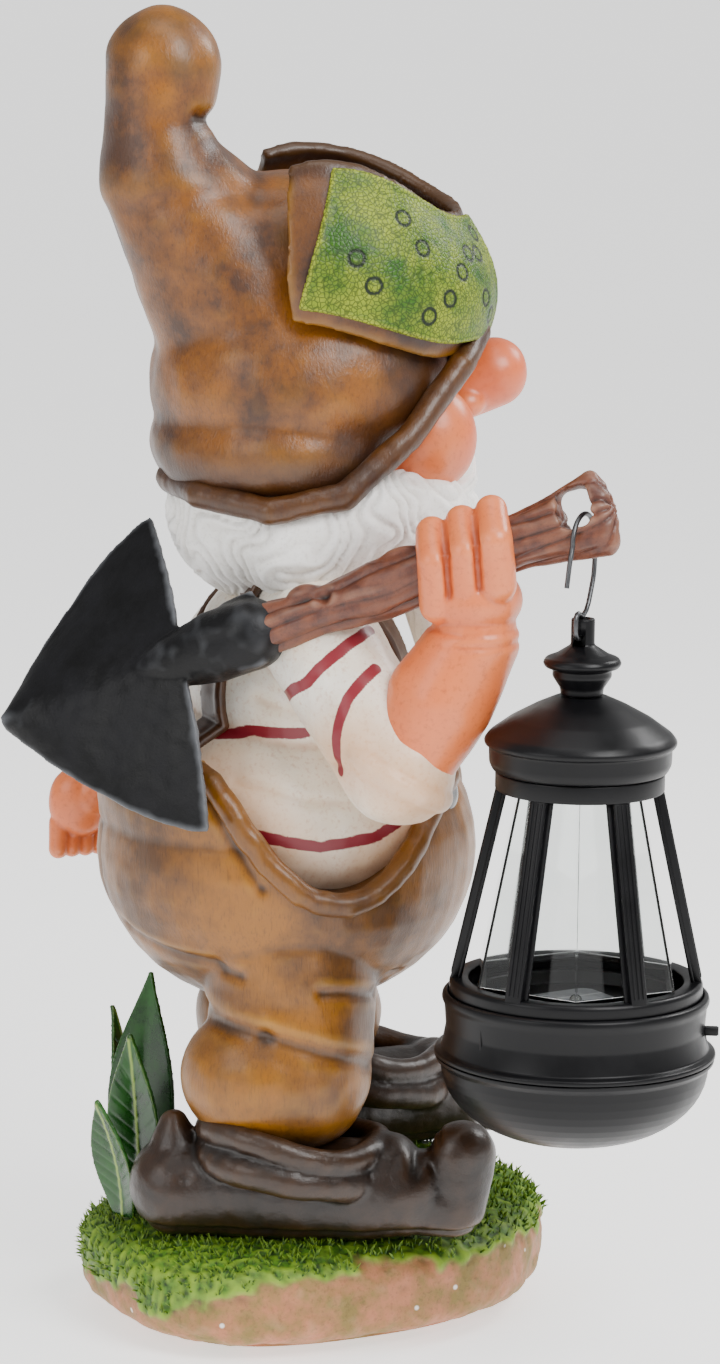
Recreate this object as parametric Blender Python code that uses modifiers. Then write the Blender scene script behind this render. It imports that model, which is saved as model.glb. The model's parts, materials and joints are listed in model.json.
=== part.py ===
"""Garden gnome that carries a spade over its right shoulder, with a solar lantern on the spade's grip.

Metres, +Z up. The gnome looks along -Y, so its right hand, the spade and the lantern are at -X. The
origin is the middle of the base's flat underside. The figure is a set of hollow, hand-painted resin
castings that sit on each other with a glue line, and the lantern is a set of moulded plastic parts.
"""

import math

import bmesh
import bpy
from mathutils import Matrix, Vector

# ---------------------------------------------------------------- driving dimensions, in metres
GLUE_LINE = 0.0004  # between two castings
CASTING_WALL = 0.007
CLEARANCE = 0.0003  # between two moulded lantern parts

BASE_LENGTH = 0.220
BASE_WIDTH = 0.182
BASE_HEIGHT = 0.048
BASE_TURN = math.radians(13)  # the long axis of the outline, turned from straight ahead to the left foot
POUR_HOLE_RADIUS = 0.012
NECK_BORE = 0.017

LEG_LENGTH = 0.074  # from the top of the base to the middle of the calf
SEAT_RISE = 0.096  # from the calf up to the middle of the seat
SEAT_HALF = Vector((0.082, 0.087, 0.074))
WAIST_DIP = -0.007  # lowest point of the waistband, against the middle of the seat
WAIST_CURVE = 18.0  # how fast the waistband climbs to the front and the back, per metre
WAIST_RISE = 0.050  # the most that the waistband climbs above the middle of the seat

CHEST_RISE = 0.077  # middle of the seat to the middle of the chest
CHEST_HALF = Vector((0.060, 0.050, 0.055))
PAUNCH_HALF = Vector((0.073, 0.076, 0.056))
HEAD_RISE = 0.110  # middle of the chest to the middle of the head
HEAD_HALF = Vector((0.049, 0.050, 0.052))
NOSE_RADIUS = 0.0158
CHEEK_RADIUS = 0.0205

HAT_CROWN_RADIUS = 0.066
HAT_TIP_RADIUS = 0.0262
HAT_LEAN = 0.053  # how far the tip hangs behind the middle of the head
HAT_HEIGHT = 0.1695  # from the middle of the head to the middle of the tip
CUFF_WALL = 0.005
CUFF_TURN = math.radians(110)  # the turned-up front reaches this far round on each side
PATCH_THICKNESS = 0.0018
BRACE_THICKNESS = 0.0030
BRACE_WIDTH = 0.013
BRACE_OFFSET = 0.0310  # from the middle of the chest
BUTTON_RADIUS = 0.0080

FINGER_COUNT = 3  # besides the thumb
FINGER_WIDTH = 0.0142

HANDLE_RADIUS = 0.0118
SPADE_LENGTH = 0.180  # from the neck of the blade to the middle of the grip
GRIP_WIDTH = 0.042  # across the flared grip
GRIP_THICKNESS = 0.015
GRIP_HOLE_LENGTH = 0.0150  # along the handle
GRIP_HOLE_WIDTH = 0.0190  # across the handle
GRIP_LOWER_RIM = 0.0165  # wood left below the hole
BLADE_LENGTH = 0.092
BLADE_HALF_WIDTH = 0.077
BLADE_THICKNESS = 0.0036
SPADE_YAW = math.radians(23)  # the handle points this far to the gnome's right of straight ahead
SPADE_PITCH = math.radians(21)
SPADE_ROLL = math.radians(18)  # the grip's outer face looks this far upwards
BLADE_TWIST = math.radians(-14)  # the blade is turned on the handle

WIRE_RADIUS = 0.0011
HOOK_UPPER_RADIUS = 0.0125
HOOK_LOWER_RADIUS = 0.0042
HOOK_SEAT = 0.0070  # centre of the wire above the bottom of the hole, at the top of the arc
HOOK_DROP = -0.0470  # centre of the wire at the bottom of the lower arc
HOOK_TURN = math.radians(35)  # the hook's plane, turned from straight across towards the gnome's back

LANTERN_RADIUS = 0.0618  # over the bead round the housing
CAGE_HEIGHT = 0.084  # height of the posts
ROOF_RADIUS = 0.0422
POST_COUNT = 6
POST_WIDTH = 0.0080
POST_DEPTH = 0.0050
POST_PHASE = math.radians(52.6)
PANE_THICKNESS = 0.0014
SHELL = 0.0022  # wall of the lantern's mouldings
LATHE_STEPS = 24  # flats round a turned lantern part
FLAT_TURN = math.tau / LATHE_STEPS
BOWL_DEPTH = 0.039
HOUSING_HEIGHT = 0.027
LANTERN_BODY_GAP = 0.025  # free space between the lantern and the trousers
BALANCE_DEPTH = 0.150  # the lantern's centre of mass lies this far below the bar that it hangs on
TUBE_RADIUS = 0.0052
TUBE_BORE = 0.0033
BATTERY_RADIUS = 0.0072
BATTERY_LENGTH = 0.0500
PANEL_SIDE = 0.037
PANEL_THICKNESS = 0.0024
LED_RADIUS = 0.0025
SCREW_RADIUS = 0.0013
SCREW_PHASE = math.radians(60)
PANEL_TURN = math.radians(57)
SWITCH_TRAVEL = 0.0040
SWITCH_ANGLE = math.radians(290)
COLLAR_HEIGHT = 0.0068  # the bowl's collar, above its lip
LUG_COUNT = 3
LUG_SIZE = Vector((0.0020, 0.0060, 0.0016))
LUG_REACH = 0.0013  # how far a lug stands out of the bowl's collar
LUG_PHASE = FLAT_TURN * 1.5
TWIST = FLAT_TURN * 2  # the bowl's turn from locked to free

# ---------------------------------------------------------------- places that follow from them
BASE_TOP = BASE_HEIGHT
CALF_Z = BASE_TOP + LEG_LENGTH
SEAT = Vector((0, 0.007, CALF_Z + SEAT_RISE))
CHEST = Vector((0, 0.002, SEAT.z + CHEST_RISE))
PAUNCH = Vector((0, 0.004, SEAT.z + 0.022))
HEAD = Vector((0, -0.012, CHEST.z + HEAD_RISE))
HAT_TIP = Vector((0.004, HEAD.y + 0.020 + HAT_LEAN, HEAD.z + HAT_HEIGHT))
RIGHT_CALF = Vector((-SEAT_HALF.x * 0.54, 0.012, CALF_Z))
LEFT_CALF = Vector((SEAT_HALF.x * 0.50, -0.022, CALF_Z))
CALF_HALF = Vector((0.037, 0.044, 0.036))
SHOULDER_RIGHT = CHEST + Vector((-CHEST_HALF.x * 0.95, 0.000, 0.030))
SHOULDER_LEFT = CHEST + Vector((CHEST_HALF.x * 0.95, 0.000, 0.028))

# The lantern hangs beside the belly, clear of the widest part of the seat.
LANTERN_BEARING = Vector((-0.755, -0.655, 0)).normalized()
LANTERN_AXIS = Vector((SEAT.x, SEAT.y, 0)) + LANTERN_BEARING * (
    max(SEAT_HALF.x, SEAT_HALF.y) + LANTERN_BODY_GAP - 0.008 + LANTERN_RADIUS
)
GRIP_Z = HEAD.z - 0.019
GRIP_HOLE_Y = -GRIP_WIDTH / 2 + GRIP_LOWER_RIM + GRIP_HOLE_WIDTH / 2  # across the handle

HANDLE_DIRECTION = Vector(
    (
        -math.sin(SPADE_YAW) * math.cos(SPADE_PITCH),
        -math.cos(SPADE_YAW) * math.cos(SPADE_PITCH),
        math.sin(SPADE_PITCH),
    )
)
GRIP = Vector((LANTERN_AXIS.x, LANTERN_AXIS.y, GRIP_Z))
NECK = GRIP - HANDLE_DIRECTION * SPADE_LENGTH
HAND = NECK + HANDLE_DIRECTION * (SPADE_LENGTH * 0.725)
ELBOW_RIGHT = Vector((HAND.x + 0.005, HAND.y + 0.033, PAUNCH.z + 0.034))
ELBOW_LEFT = Vector((CHEST_HALF.x + 0.036, 0.036, PAUNCH.z + 0.024))
HAND_LEFT = Vector((SEAT_HALF.x + 0.013, 0.087, SEAT.z + 0.004))

PART_COLOURS = {
    "soil": ((0.36, 0.22, 0.13), 0.75, 0.0),
    "leather_brown": ((0.11, 0.055, 0.03), 0.45, 0.0),
    "ochre": ((0.30, 0.15, 0.035), 0.45, 0.0),
    "linen": ((0.83, 0.78, 0.70), 0.5, 0.0),
    "skin": ((0.80, 0.36, 0.20), 0.45, 0.0),
    "white_hair": ((0.86, 0.84, 0.80), 0.5, 0.0),
    "green": ((0.13, 0.25, 0.05), 0.45, 0.0),
    "iron_black": ((0.02, 0.02, 0.024), 0.4, 0.0),
    "bark": ((0.14, 0.06, 0.035), 0.55, 0.0),
    "black_plastic": ((0.012, 0.012, 0.016), 0.38, 0.0),
    "clear_plastic": ((0.9, 0.92, 0.95), 0.08, 0.0),
    "steel": ((0.45, 0.44, 0.43), 0.3, 1.0),
    "silicon": ((0.02, 0.03, 0.09), 0.15, 0.0),
    "board": ((0.03, 0.18, 0.07), 0.5, 0.0),
    "battery_wrap": ((0.10, 0.30, 0.12), 0.35, 0.0),
}


# ---------------------------------------------------------------- scene helpers
def clear_scene():
    for obj in list(bpy.data.objects):
        bpy.data.objects.remove(obj, do_unlink=True)


def new_collection(name):
    found = bpy.data.collections.new(name)
    bpy.context.scene.collection.children.link(found)
    return found


def material(name):
    found = bpy.data.materials.get(name)
    if found:
        return found
    colour, roughness, metallic = PART_COLOURS[name]
    found = bpy.data.materials.new(name)
    found.use_nodes = True
    shader = found.node_tree.nodes["Principled BSDF"]
    shader.inputs["Base Color"].default_value = (*colour, 1)
    shader.inputs["Roughness"].default_value = roughness
    shader.inputs["Metallic"].default_value = metallic
    return found


def add_object(name, mesh, finish, parent=None):
    """A named part of the gnome with its own material."""
    obj = bpy.data.objects.new(name, mesh)
    PARTS.objects.link(obj)
    if finish:
        obj.data.materials.clear()
        obj.data.materials.append(material(finish))
    obj.parent = parent
    return obj


def add_cutter(name, mesh, parent=None):
    obj = bpy.data.objects.new(name, mesh)
    CUTTERS.objects.link(obj)
    obj.hide_render = True
    obj.display_type = "WIRE"
    obj.parent = parent
    return obj


def mesh_from(bm, name):
    mesh = bpy.data.meshes.new(name)
    bm.to_mesh(mesh)
    bm.free()
    return mesh


def evaluated_mesh(obj):
    bpy.context.view_layer.update()
    graph = bpy.context.evaluated_depsgraph_get()
    return bpy.data.meshes.new_from_object(obj.evaluated_get(graph))


def boolean(obj, other, operation="DIFFERENCE", solver="EXACT"):
    modifier = obj.modifiers.new(operation.title(), "BOOLEAN")
    modifier.operation = operation
    modifier.object = other
    modifier.solver = solver
    return modifier


def keep_largest_island(bm):
    """Deletes the loose chips that a cut leaves beside the main body."""
    unseen = set(bm.verts)
    islands = []
    while unseen:
        stack = [unseen.pop()]
        island = set(stack)
        while stack:
            for edge in stack.pop().link_edges:
                for vert in edge.verts:
                    if vert in unseen:
                        unseen.discard(vert)
                        island.add(vert)
                        stack.append(vert)
        islands.append(island)
    islands.sort(key=len)
    chips = [vert for island in islands[:-1] for vert in island]
    bmesh.ops.delete(bm, geom=chips, context="VERTS")


def settle(obj):
    """Applies the modifiers, welds slivers and drops loose chips, so that one clean body is left."""
    mesh = evaluated_mesh(obj)
    bm = bmesh.new()
    bm.from_mesh(mesh)
    bmesh.ops.remove_doubles(bm, verts=bm.verts, dist=0.00002)
    bmesh.ops.triangulate(bm, faces=bm.faces)
    keep_largest_island(bm)
    bm.to_mesh(mesh)
    bm.free()
    obj.modifiers.clear()
    obj.data = mesh
    obj.data.shade_smooth()
    obj.data.set_sharp_from_angle(angle=math.radians(50))


# ---------------------------------------------------------------- modelling soft castings
def dab(clay, centre, half, turn=None):
    """Presses one ellipsoid of clay on, as the matrix that a unit ball takes."""
    half = Vector(half) if hasattr(half, "__len__") else Vector((half,) * 3)
    clay.append(Matrix.Translation(centre) @ (turn or Matrix()) @ Matrix.Diagonal((*half, 1)))


def ball_mesh():
    bm = bmesh.new()
    bmesh.ops.create_uvsphere(bm, u_segments=20, v_segments=12, radius=1)
    return mesh_from(bm, "ball")


def clay_mesh(clay, name):
    """All the dabs as overlapping balls in one mesh."""
    bm = bmesh.new()
    unit = ball_mesh()
    for matrix in clay:
        ball = unit.copy()
        ball.transform(matrix)
        bm.from_mesh(ball)
        bpy.data.meshes.remove(ball)
    bpy.data.meshes.remove(unit)
    return mesh_from(bm, name)


def stroke(clay, points):
    """A roll of clay through (place, radius) points, as dabs that overlap."""
    for (start, start_radius), (end, end_radius) in zip(points, points[1:]):
        start, end = Vector(start), Vector(end)
        count = max(2, math.ceil((end - start).length / (0.4 * min(start_radius, end_radius))))
        for step in range(count + 1):
            share = step / count
            dab(clay, start.lerp(end, share), start_radius + (end_radius - start_radius) * share)


def fuse(name, clay, voxel, keep, smoothing=6):
    """Melts the dabs into one smooth skin and thins its mesh to the share that keep gives."""
    obj = bpy.data.objects.new(name, clay_mesh(clay, name))
    CUTTERS.objects.link(obj)
    remesh = obj.modifiers.new("Fuse", "REMESH")
    remesh.mode = "VOXEL"
    remesh.voxel_size = voxel
    smooth = obj.modifiers.new("Smooth", "SMOOTH")
    smooth.factor = 0.5
    smooth.iterations = smoothing
    decimate = obj.modifiers.new("Thin", "DECIMATE")
    decimate.ratio = keep
    decimate.use_collapse_triangulate = True
    mesh = evaluated_mesh(obj)
    bpy.data.meshes.remove(obj.data)
    mesh.name = name
    return mesh


def grown(name, mesh, by=GLUE_LINE):
    """A cutter that is this casting with its skin moved out by the glue line."""
    bm = bmesh.new()
    bm.from_mesh(mesh)
    bm.normal_update()
    moves = []
    for vert in bm.verts:
        # Weighted by area, so that a thin sliver doesn't tip the direction.
        outward = sum((face.normal * face.calc_area() for face in vert.link_faces), Vector())
        moves.append((vert, outward.normalized() * by))
    for vert, move in moves:
        vert.co += move
    return add_cutter(name, mesh_from(bm, name))


def sheet(points_at, across, along, name):
    """An open quad sheet from points_at(s, t), s and t from 0 to 1."""
    bm = bmesh.new()
    bmesh.ops.create_grid(bm, x_segments=across, y_segments=along, size=0.5)
    for vert in bm.verts:
        vert.co = points_at(vert.co.x + 0.5, vert.co.y + 0.5)
    bmesh.ops.recalc_face_normals(bm, faces=bm.faces)
    return mesh_from(bm, name)


def thick(obj, thickness, offset):
    modifier = obj.modifiers.new("Wall", "SOLIDIFY")
    modifier.thickness = thickness
    modifier.offset = offset
    modifier.use_even_offset = True
    return modifier


def slab_above(height_at, reach, top, name):
    """A cutter that fills the space between the surface height_at(x, y) and the level top."""
    bm = bmesh.new()
    bmesh.ops.create_grid(bm, x_segments=16, y_segments=24, size=reach)
    for vert in bm.verts:
        vert.co.z = height_at(vert.co.x, vert.co.y)
    lifted = bmesh.ops.extrude_face_region(bm, geom=list(bm.faces))
    for item in lifted["geom"]:
        if isinstance(item, bmesh.types.BMVert):
            item.co.z = top
    bmesh.ops.recalc_face_normals(bm, faces=bm.faces)
    return add_cutter(name, mesh_from(bm, name))


def smoothstep(low, high, value):
    share = min(1.0, max(0.0, (value - low) / (high - low)))
    return share * share * (3 - 2 * share)


def cut_flat(mesh, level, keep_above=True):
    """Slices a casting off level and closes it."""
    bm = bmesh.new()
    bm.from_mesh(mesh)
    geom = list(bm.verts) + list(bm.edges) + list(bm.faces)
    cut = bmesh.ops.bisect_plane(
        bm,
        geom=geom,
        plane_co=(0, 0, level),
        plane_no=(0, 0, 1),
        clear_inner=keep_above,
        clear_outer=not keep_above,
    )
    edges = [item for item in cut["geom_cut"] if isinstance(item, bmesh.types.BMEdge)]
    bmesh.ops.holes_fill(bm, edges=edges)
    bmesh.ops.recalc_face_normals(bm, faces=bm.faces)
    bm.to_mesh(mesh)
    bm.free()
    return mesh


# ---------------------------------------------------------------- the figure's skins
def base_mesh():
    """A slab of ground: an egg-shaped outline with soft lobes, a flat underside and a domed edge."""
    bm = bmesh.new()
    bmesh.ops.create_uvsphere(bm, u_segments=24, v_segments=10, radius=1)
    for vert in bm.verts:
        angle = math.atan2(vert.co.y, vert.co.x)
        radial = math.hypot(vert.co.x, vert.co.y)
        squared = radial**0.45 if radial > 0 else 0
        lobes = 1 + 0.035 * math.sin(3 * angle + 0.6) + 0.022 * math.sin(5 * angle + 2.1)
        taper = 1 - 0.07 * smoothstep(0.0, 1.0, -vert.co.z)
        half_x = BASE_WIDTH / 2 * lobes * taper * squared
        half_y = BASE_LENGTH / 2 * lobes * taper * squared
        height = math.copysign(abs(vert.co.z) ** 0.42, vert.co.z)
        vert.co = (
            half_x * math.cos(angle),
            -0.004 + half_y * math.sin(angle),
            BASE_HEIGHT / 2 + height * BASE_HEIGHT / 2 * 1.02,
        )
    mesh = mesh_from(bm, "ground_base")
    mesh.transform(Matrix.Rotation(BASE_TURN, 4, "Z"))
    cut_flat(mesh, BASE_TOP, keep_above=False)
    return cut_flat(mesh, 0.0)


def trousers_mesh():
    clay = []
    dab(clay, SEAT, SEAT_HALF)
    dab(clay, SEAT + Vector((0, 0.004, 0.026)), (SEAT_HALF.x * 0.98, SEAT_HALF.y * 0.95, 0.052))
    for calf, side in ((RIGHT_CALF, -1), (LEFT_CALF, 1)):
        hip = SEAT + Vector((side * 0.036, calf.y * 0.4, -0.040))
        stroke(clay, [(hip, 0.040), (calf, 0.036)])
        dab(clay, calf, CALF_HALF)
    dab(clay, SEAT + Vector((0.018, -SEAT_HALF.y * 0.86, 0.022)), (0.018, 0.010, 0.018))
    return fuse("trousers", clay, 0.006, 0.050, smoothing=5)


def shirt_mesh():
    clay = []
    dab(clay, PAUNCH, PAUNCH_HALF)
    dab(clay, CHEST, CHEST_HALF)
    stroke(clay, [(SHOULDER_LEFT, 0.024), (CHEST + Vector((0, 0, 0.042)), 0.030), (SHOULDER_RIGHT, 0.024)])
    return fuse("shirt_torso", clay, 0.006, 0.070)


def sleeve_mesh(name, shoulder, elbow):
    clay = []
    stroke(clay, [(shoulder, 0.026), (shoulder.lerp(elbow, 0.55), 0.0255), (elbow, 0.0255)])
    return fuse(name, clay, 0.0045, 0.05)


def right_arm_mesh():
    """The bare forearm from the elbow up to a fist round the handle."""
    side = SPADE_NORMAL
    up = SPADE_ACROSS
    along = HANDLE_DIRECTION
    wrist = HAND - Vector((0, 0, 0.037))
    clay = []
    forearm_start = ELBOW_RIGHT + Vector((-0.002, -0.006, 0.004))
    stroke(clay, [(forearm_start, 0.0185), (ELBOW_RIGHT.lerp(wrist, 0.55), 0.0240), (wrist, 0.0195)])
    dab(clay, HAND - Vector((0, 0, 0.019)), (0.0195, 0.0205, 0.017))
    for index in range(FINGER_COUNT):
        spot = HAND + along * FINGER_WIDTH * (index - (FINGER_COUNT - 1) / 2)
        reach = HANDLE_RADIUS + 0.0042
        knuckle = spot - Vector((0, 0, 0.018)) + side * (reach * 0.72)
        middle = spot + side * reach
        tip = spot + up * (reach - 0.001) + side * (reach * 0.45)
        stroke(clay, [(knuckle, 0.0084), (middle, 0.0078), (tip, 0.0072)])
    thumb_root = HAND - up * 0.014 - side * (HANDLE_RADIUS + 0.002)
    thumb_tip = HAND + along * 0.006 + up * 0.008 - side * (HANDLE_RADIUS + 0.004)
    stroke(clay, [(thumb_root, 0.0085), (thumb_tip, 0.0068)])
    return fuse("right_forearm", clay, 0.0028, 0.07, smoothing=3)


def left_arm_mesh():
    clay = []
    start = ELBOW_LEFT + Vector((0.000, 0.006, -0.004))
    stroke(clay, [(start, 0.0165), (ELBOW_LEFT.lerp(HAND_LEFT, 0.6), 0.0150), (HAND_LEFT, 0.0120)])
    dab(clay, HAND_LEFT + Vector((0, 0.004, -0.002)), (0.011, 0.015, 0.017))
    for index in range(4):
        root = HAND_LEFT + Vector((0.006 - 0.002 * index, -0.006 + 0.0065 * index, -0.012))
        stroke(clay, [(root, 0.0052), (root + Vector((-0.003, 0.001, -0.012)), 0.0046)])
    return fuse("left_forearm", clay, 0.0028, 0.06, smoothing=2)


def head_mesh():
    """Head, cheeks, nose and ears; the hat hides the top, and the beard the chin."""
    clay = []
    dab(clay, HEAD, HEAD_HALF)
    for side in (-1, 1):
        cheek = HEAD + Vector((side * 0.031, -0.041, 0.004))
        dab(clay, cheek, (CHEEK_RADIUS, CHEEK_RADIUS * 1.05, CHEEK_RADIUS * 1.18))
    nose_root = HEAD + Vector((0, -0.048, 0.014))
    nose_tip = HEAD + Vector((0, -0.076, 0.0285))
    stroke(clay, [(nose_root, NOSE_RADIUS * 0.8), (nose_tip, NOSE_RADIUS)])
    stroke(clay, [(HEAD, 0.030), (CHEST + Vector((0, -0.004, 0.050)), 0.026)])
    return fuse("head", clay, 0.004, 0.050, smoothing=3)


def hair_mesh():
    """Back hair, side locks and beard, one casting round the face."""
    clay = []
    dab(clay, HEAD + Vector((0, 0.029, -0.029)), (0.056, 0.044, 0.043))
    for side in (-1, 1):
        stroke(
            clay,
            [
                (HEAD + Vector((side * 0.040, 0.020, -0.040)), 0.026),
                (HEAD + Vector((side * 0.047, -0.012, -0.026)), 0.019),
                (HEAD + Vector((side * 0.034, -0.040, -0.028)), 0.018),
                (HEAD + Vector((side * 0.012, -0.052, -0.050)), 0.020),
            ],
        )
    beard = [
        (HEAD + Vector((0, -0.050, -0.040)), 0.022),
        (HEAD + Vector((0, -0.056, -0.070)), 0.022),
        (HEAD + Vector((0, -0.056, -0.096)), 0.014),
    ]
    stroke(clay, beard)
    return fuse("hair_beard", clay, 0.0045, 0.060, smoothing=4)


def moustache_mesh():
    clay = []
    for side in (-1, 1):
        stroke(
            clay,
            [
                (HEAD + Vector((0, -0.059, -0.006)), 0.0085),
                (HEAD + Vector((side * 0.016, -0.057, -0.017)), 0.0085),
                (HEAD + Vector((side * 0.030, -0.050, -0.030)), 0.0045),
            ],
        )
    return fuse("moustache", clay, 0.0025, 0.06, smoothing=3)


def hat_mesh():
    """The drooping crown: a bell over the head that narrows backwards to a round tip."""
    clay = []
    bell = HEAD + Vector((0, 0.011, 0.028))
    dab(clay, bell, (HAT_CROWN_RADIUS, HAT_CROWN_RADIUS * 1.05, 0.056))
    dab(clay, HEAD + Vector((0, 0.019, 0.000)), (HAT_CROWN_RADIUS * 1.01, 0.061, 0.036))
    dab(clay, HEAD + Vector((0, 0.020, 0.082)), (0.044, 0.040, 0.040))
    stroke(
        clay,
        [
            (bell + Vector((0, 0.000, 0.006)), HAT_CROWN_RADIUS * 0.88),
            (HEAD + Vector((0.001, 0.050, HAT_HEIGHT * 0.50)), 0.0400),
            (HAT_TIP + Vector((-0.002, 0.000, -0.052)), 0.0290),
            (HAT_TIP + Vector((-0.001, 0.004, -0.028)), HAT_TIP_RADIUS * 0.90),
            (HAT_TIP, HAT_TIP_RADIUS),
        ],
    )
    lip = [HEAD + Vector(point) for point in BRIM_EDGE]
    ring = lip + [Vector((-p.x, p.y, p.z)) for p in reversed(lip[1:-1])] + lip[:1]
    stroke(clay, [(point, 0.0075) for point in ring])
    return fuse("hat", clay, 0.0055, 0.055, smoothing=3)


# Right half of the hat's lower edge, from the back to the front, against the middle of the head.
BRIM_EDGE = [
    (0.000, 0.072, -0.016),
    (-0.036, 0.064, -0.018),
    (-0.062, 0.036, -0.022),
    (-0.066, 0.004, -0.016),
    (-0.060, -0.026, 0.008),
    (-0.046, -0.052, 0.038),
    (-0.024, -0.064, 0.050),
    (0.000, -0.067, 0.053),
]


def brim_height(x, y):
    """Level of the hat's lower edge, which climbs from the nape to the brow."""
    behind = (y - HEAD.y) - 0.040
    climb = 10.5 * min(0.0, behind + 0.012) ** 2 * smoothstep(0.0, 0.050, -behind)
    return HEAD.z - 0.026 + min(climb, 0.078)


def waist_height(x, y):
    """Level of the trousers' top edge, which dips at both hips."""
    return SEAT.z + min(WAIST_DIP + WAIST_CURVE * (y + 0.005) ** 2, WAIST_RISE)


def upper_hollow_mesh():
    """The empty inside of the shirt, head and hat."""
    wall = Vector((CASTING_WALL,) * 3)
    crown = HEAD + Vector((0, 0.030, 0.080))
    clay = []
    stroke(clay, [(SEAT, 0.042), (PAUNCH, 0.045)])
    dab(clay, PAUNCH, PAUNCH_HALF - wall)
    dab(clay, CHEST, CHEST_HALF - wall * 1.2)
    stroke(clay, [(CHEST, NECK_BORE), (HEAD, NECK_BORE)])
    dab(clay, HEAD, HEAD_HALF - wall * 1.5)
    stroke(
        clay,
        [
            (HEAD, NECK_BORE),
            (crown, 0.036),
            (HAT_TIP + Vector((-0.002, 0.000, -0.052)), 0.0290 - CASTING_WALL * 1.3),
            (HAT_TIP, HAT_TIP_RADIUS - CASTING_WALL * 1.5),
        ],
    )
    return fuse("upper_hollow", clay, 0.007, 0.06, smoothing=2)


def lower_hollow_mesh():
    """The empty inside of the trousers and the base, with the pour hole through the right shoe."""
    wall = Vector((CASTING_WALL,) * 3)
    foot = Vector((RIGHT_CALF.x, RIGHT_CALF.y, BASE_TOP * 0.5))
    ground = Vector((BASE_WIDTH * 0.43, BASE_LENGTH * 0.43, BASE_HEIGHT * 0.5 - 0.006))
    clay = []
    dab(clay, SEAT, SEAT_HALF - wall)
    stroke(clay, [(SEAT, 0.030), (RIGHT_CALF, 0.023), (foot, POUR_HOLE_RADIUS)])
    dab(clay, (0, -0.004, BASE_HEIGHT * 0.5), ground)
    stroke(clay, [(foot, POUR_HOLE_RADIUS), (foot - Vector((0, 0, BASE_HEIGHT)), POUR_HOLE_RADIUS)])
    return fuse("lower_hollow", clay, 0.007, 0.06, smoothing=2)


def shoe_mesh(name, calf, toe_direction, length, toe_lift):
    """A long soft shoe with a turned-up toe and a ruffled collar round the ankle."""
    forward = Vector((toe_direction[0], toe_direction[1], 0)).normalized()
    sole = Vector((calf.x, calf.y, BASE_TOP))
    heel = sole - forward * 0.053
    clay = []
    stroke(
        clay,
        [
            (heel + Vector((0, 0, 0.022)), 0.0230),
            (sole + Vector((0, 0, 0.021)), 0.0240),
            (sole + forward * (length * 0.28) + Vector((0, 0, 0.023)), 0.0225),
        ],
    )
    vamp = sole + forward * (length * 0.24) + Vector((0, 0, 0.029))
    dab(clay, vamp, 0.0195)
    ball = sole + forward * (length * 0.42) + Vector((0, 0, 0.016))
    toe = sole + forward * (length * 0.44) + Vector((0, 0, toe_lift))
    stroke(clay, [(vamp - Vector((0, 0, 0.008)), 0.0190), (ball, 0.0170), (toe, 0.0155)])
    tab = heel - forward * 0.002 + Vector((0, 0, 0.050))
    stroke(clay, [(heel + Vector((0, 0, 0.022)), 0.020), (tab, 0.0085)])
    for step in range(24):
        angle = step * math.tau / 24
        outward = Vector((math.cos(angle) * CALF_HALF.x, math.sin(angle) * CALF_HALF.y, 0)) * 0.86
        lift = 0.046 + 0.006 * outward.normalized().dot(-forward)
        dab(clay, sole + outward + Vector((0, 0, lift)), 0.0075)
        dab(clay, sole + outward * 0.9 + Vector((0, 0, lift - 0.010)), 0.0090)
    mesh = fuse(name, clay, 0.0042, 0.055, smoothing=3)
    return cut_flat(mesh, BASE_TOP + GLUE_LINE)


# ---------------------------------------------------------------- building the figure
def skin_meshes():
    """Every casting's whole outer skin, before any of them is cut."""
    return {
        "trousers": trousers_mesh(),
        "shirt_torso": shirt_mesh(),
        "right_sleeve": sleeve_mesh("right_sleeve", SHOULDER_RIGHT, ELBOW_RIGHT),
        "left_sleeve": sleeve_mesh("left_sleeve", SHOULDER_LEFT, ELBOW_LEFT),
        "right_forearm": right_arm_mesh(),
        "left_forearm": left_arm_mesh(),
        "head": head_mesh(),
        "hair_beard": hair_mesh(),
        "moustache": moustache_mesh(),
        "hat": hat_mesh(),
        "spade_handle": handle_mesh(),
        "right_shoe": shoe_mesh("right_shoe", RIGHT_CALF + Vector((-0.006, 0, 0)), (-0.27, -1), 0.172, 0.040),
        "left_shoe": shoe_mesh("left_shoe", LEFT_CALF + Vector((0.004, -0.012, 0)), (0.12, -1), 0.160, 0.040),
        "ground_base": base_mesh(),
    }


# What each casting is made of, and the neighbours and hollows that are cut out of it.
CASTINGS = {
    "ground_base": ("soil", ("lower_hollow",)),
    "trousers": ("ochre", ("above_waist", "shirt_torso", "lower_hollow")),
    "shirt_torso": ("linen", ("spade_handle", "upper_hollow")),
    "spade_handle": ("bark", ()),
    "right_sleeve": ("linen", ("shirt_torso", "spade_handle")),
    "left_sleeve": ("linen", ("shirt_torso", "trousers")),
    "right_forearm": ("skin", ("right_sleeve", "spade_handle", "shirt_torso")),
    "left_forearm": ("skin", ("left_sleeve", "trousers")),
    "head": ("skin", ("shirt_torso", "upper_hollow")),
    "hair_beard": (
        "white_hair",
        ("head", "shirt_torso", "spade_handle", "right_sleeve", "left_sleeve", "right_forearm"),
    ),
    "moustache": ("white_hair", ("head", "hair_beard", "right_forearm")),
    "hat": ("leather_brown", ("below_brim", "head", "hair_beard", "right_forearm", "upper_hollow")),
    "right_shoe": ("leather_brown", ("trousers", "lower_hollow")),
    "left_shoe": ("leather_brown", ("trousers",)),
}


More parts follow.
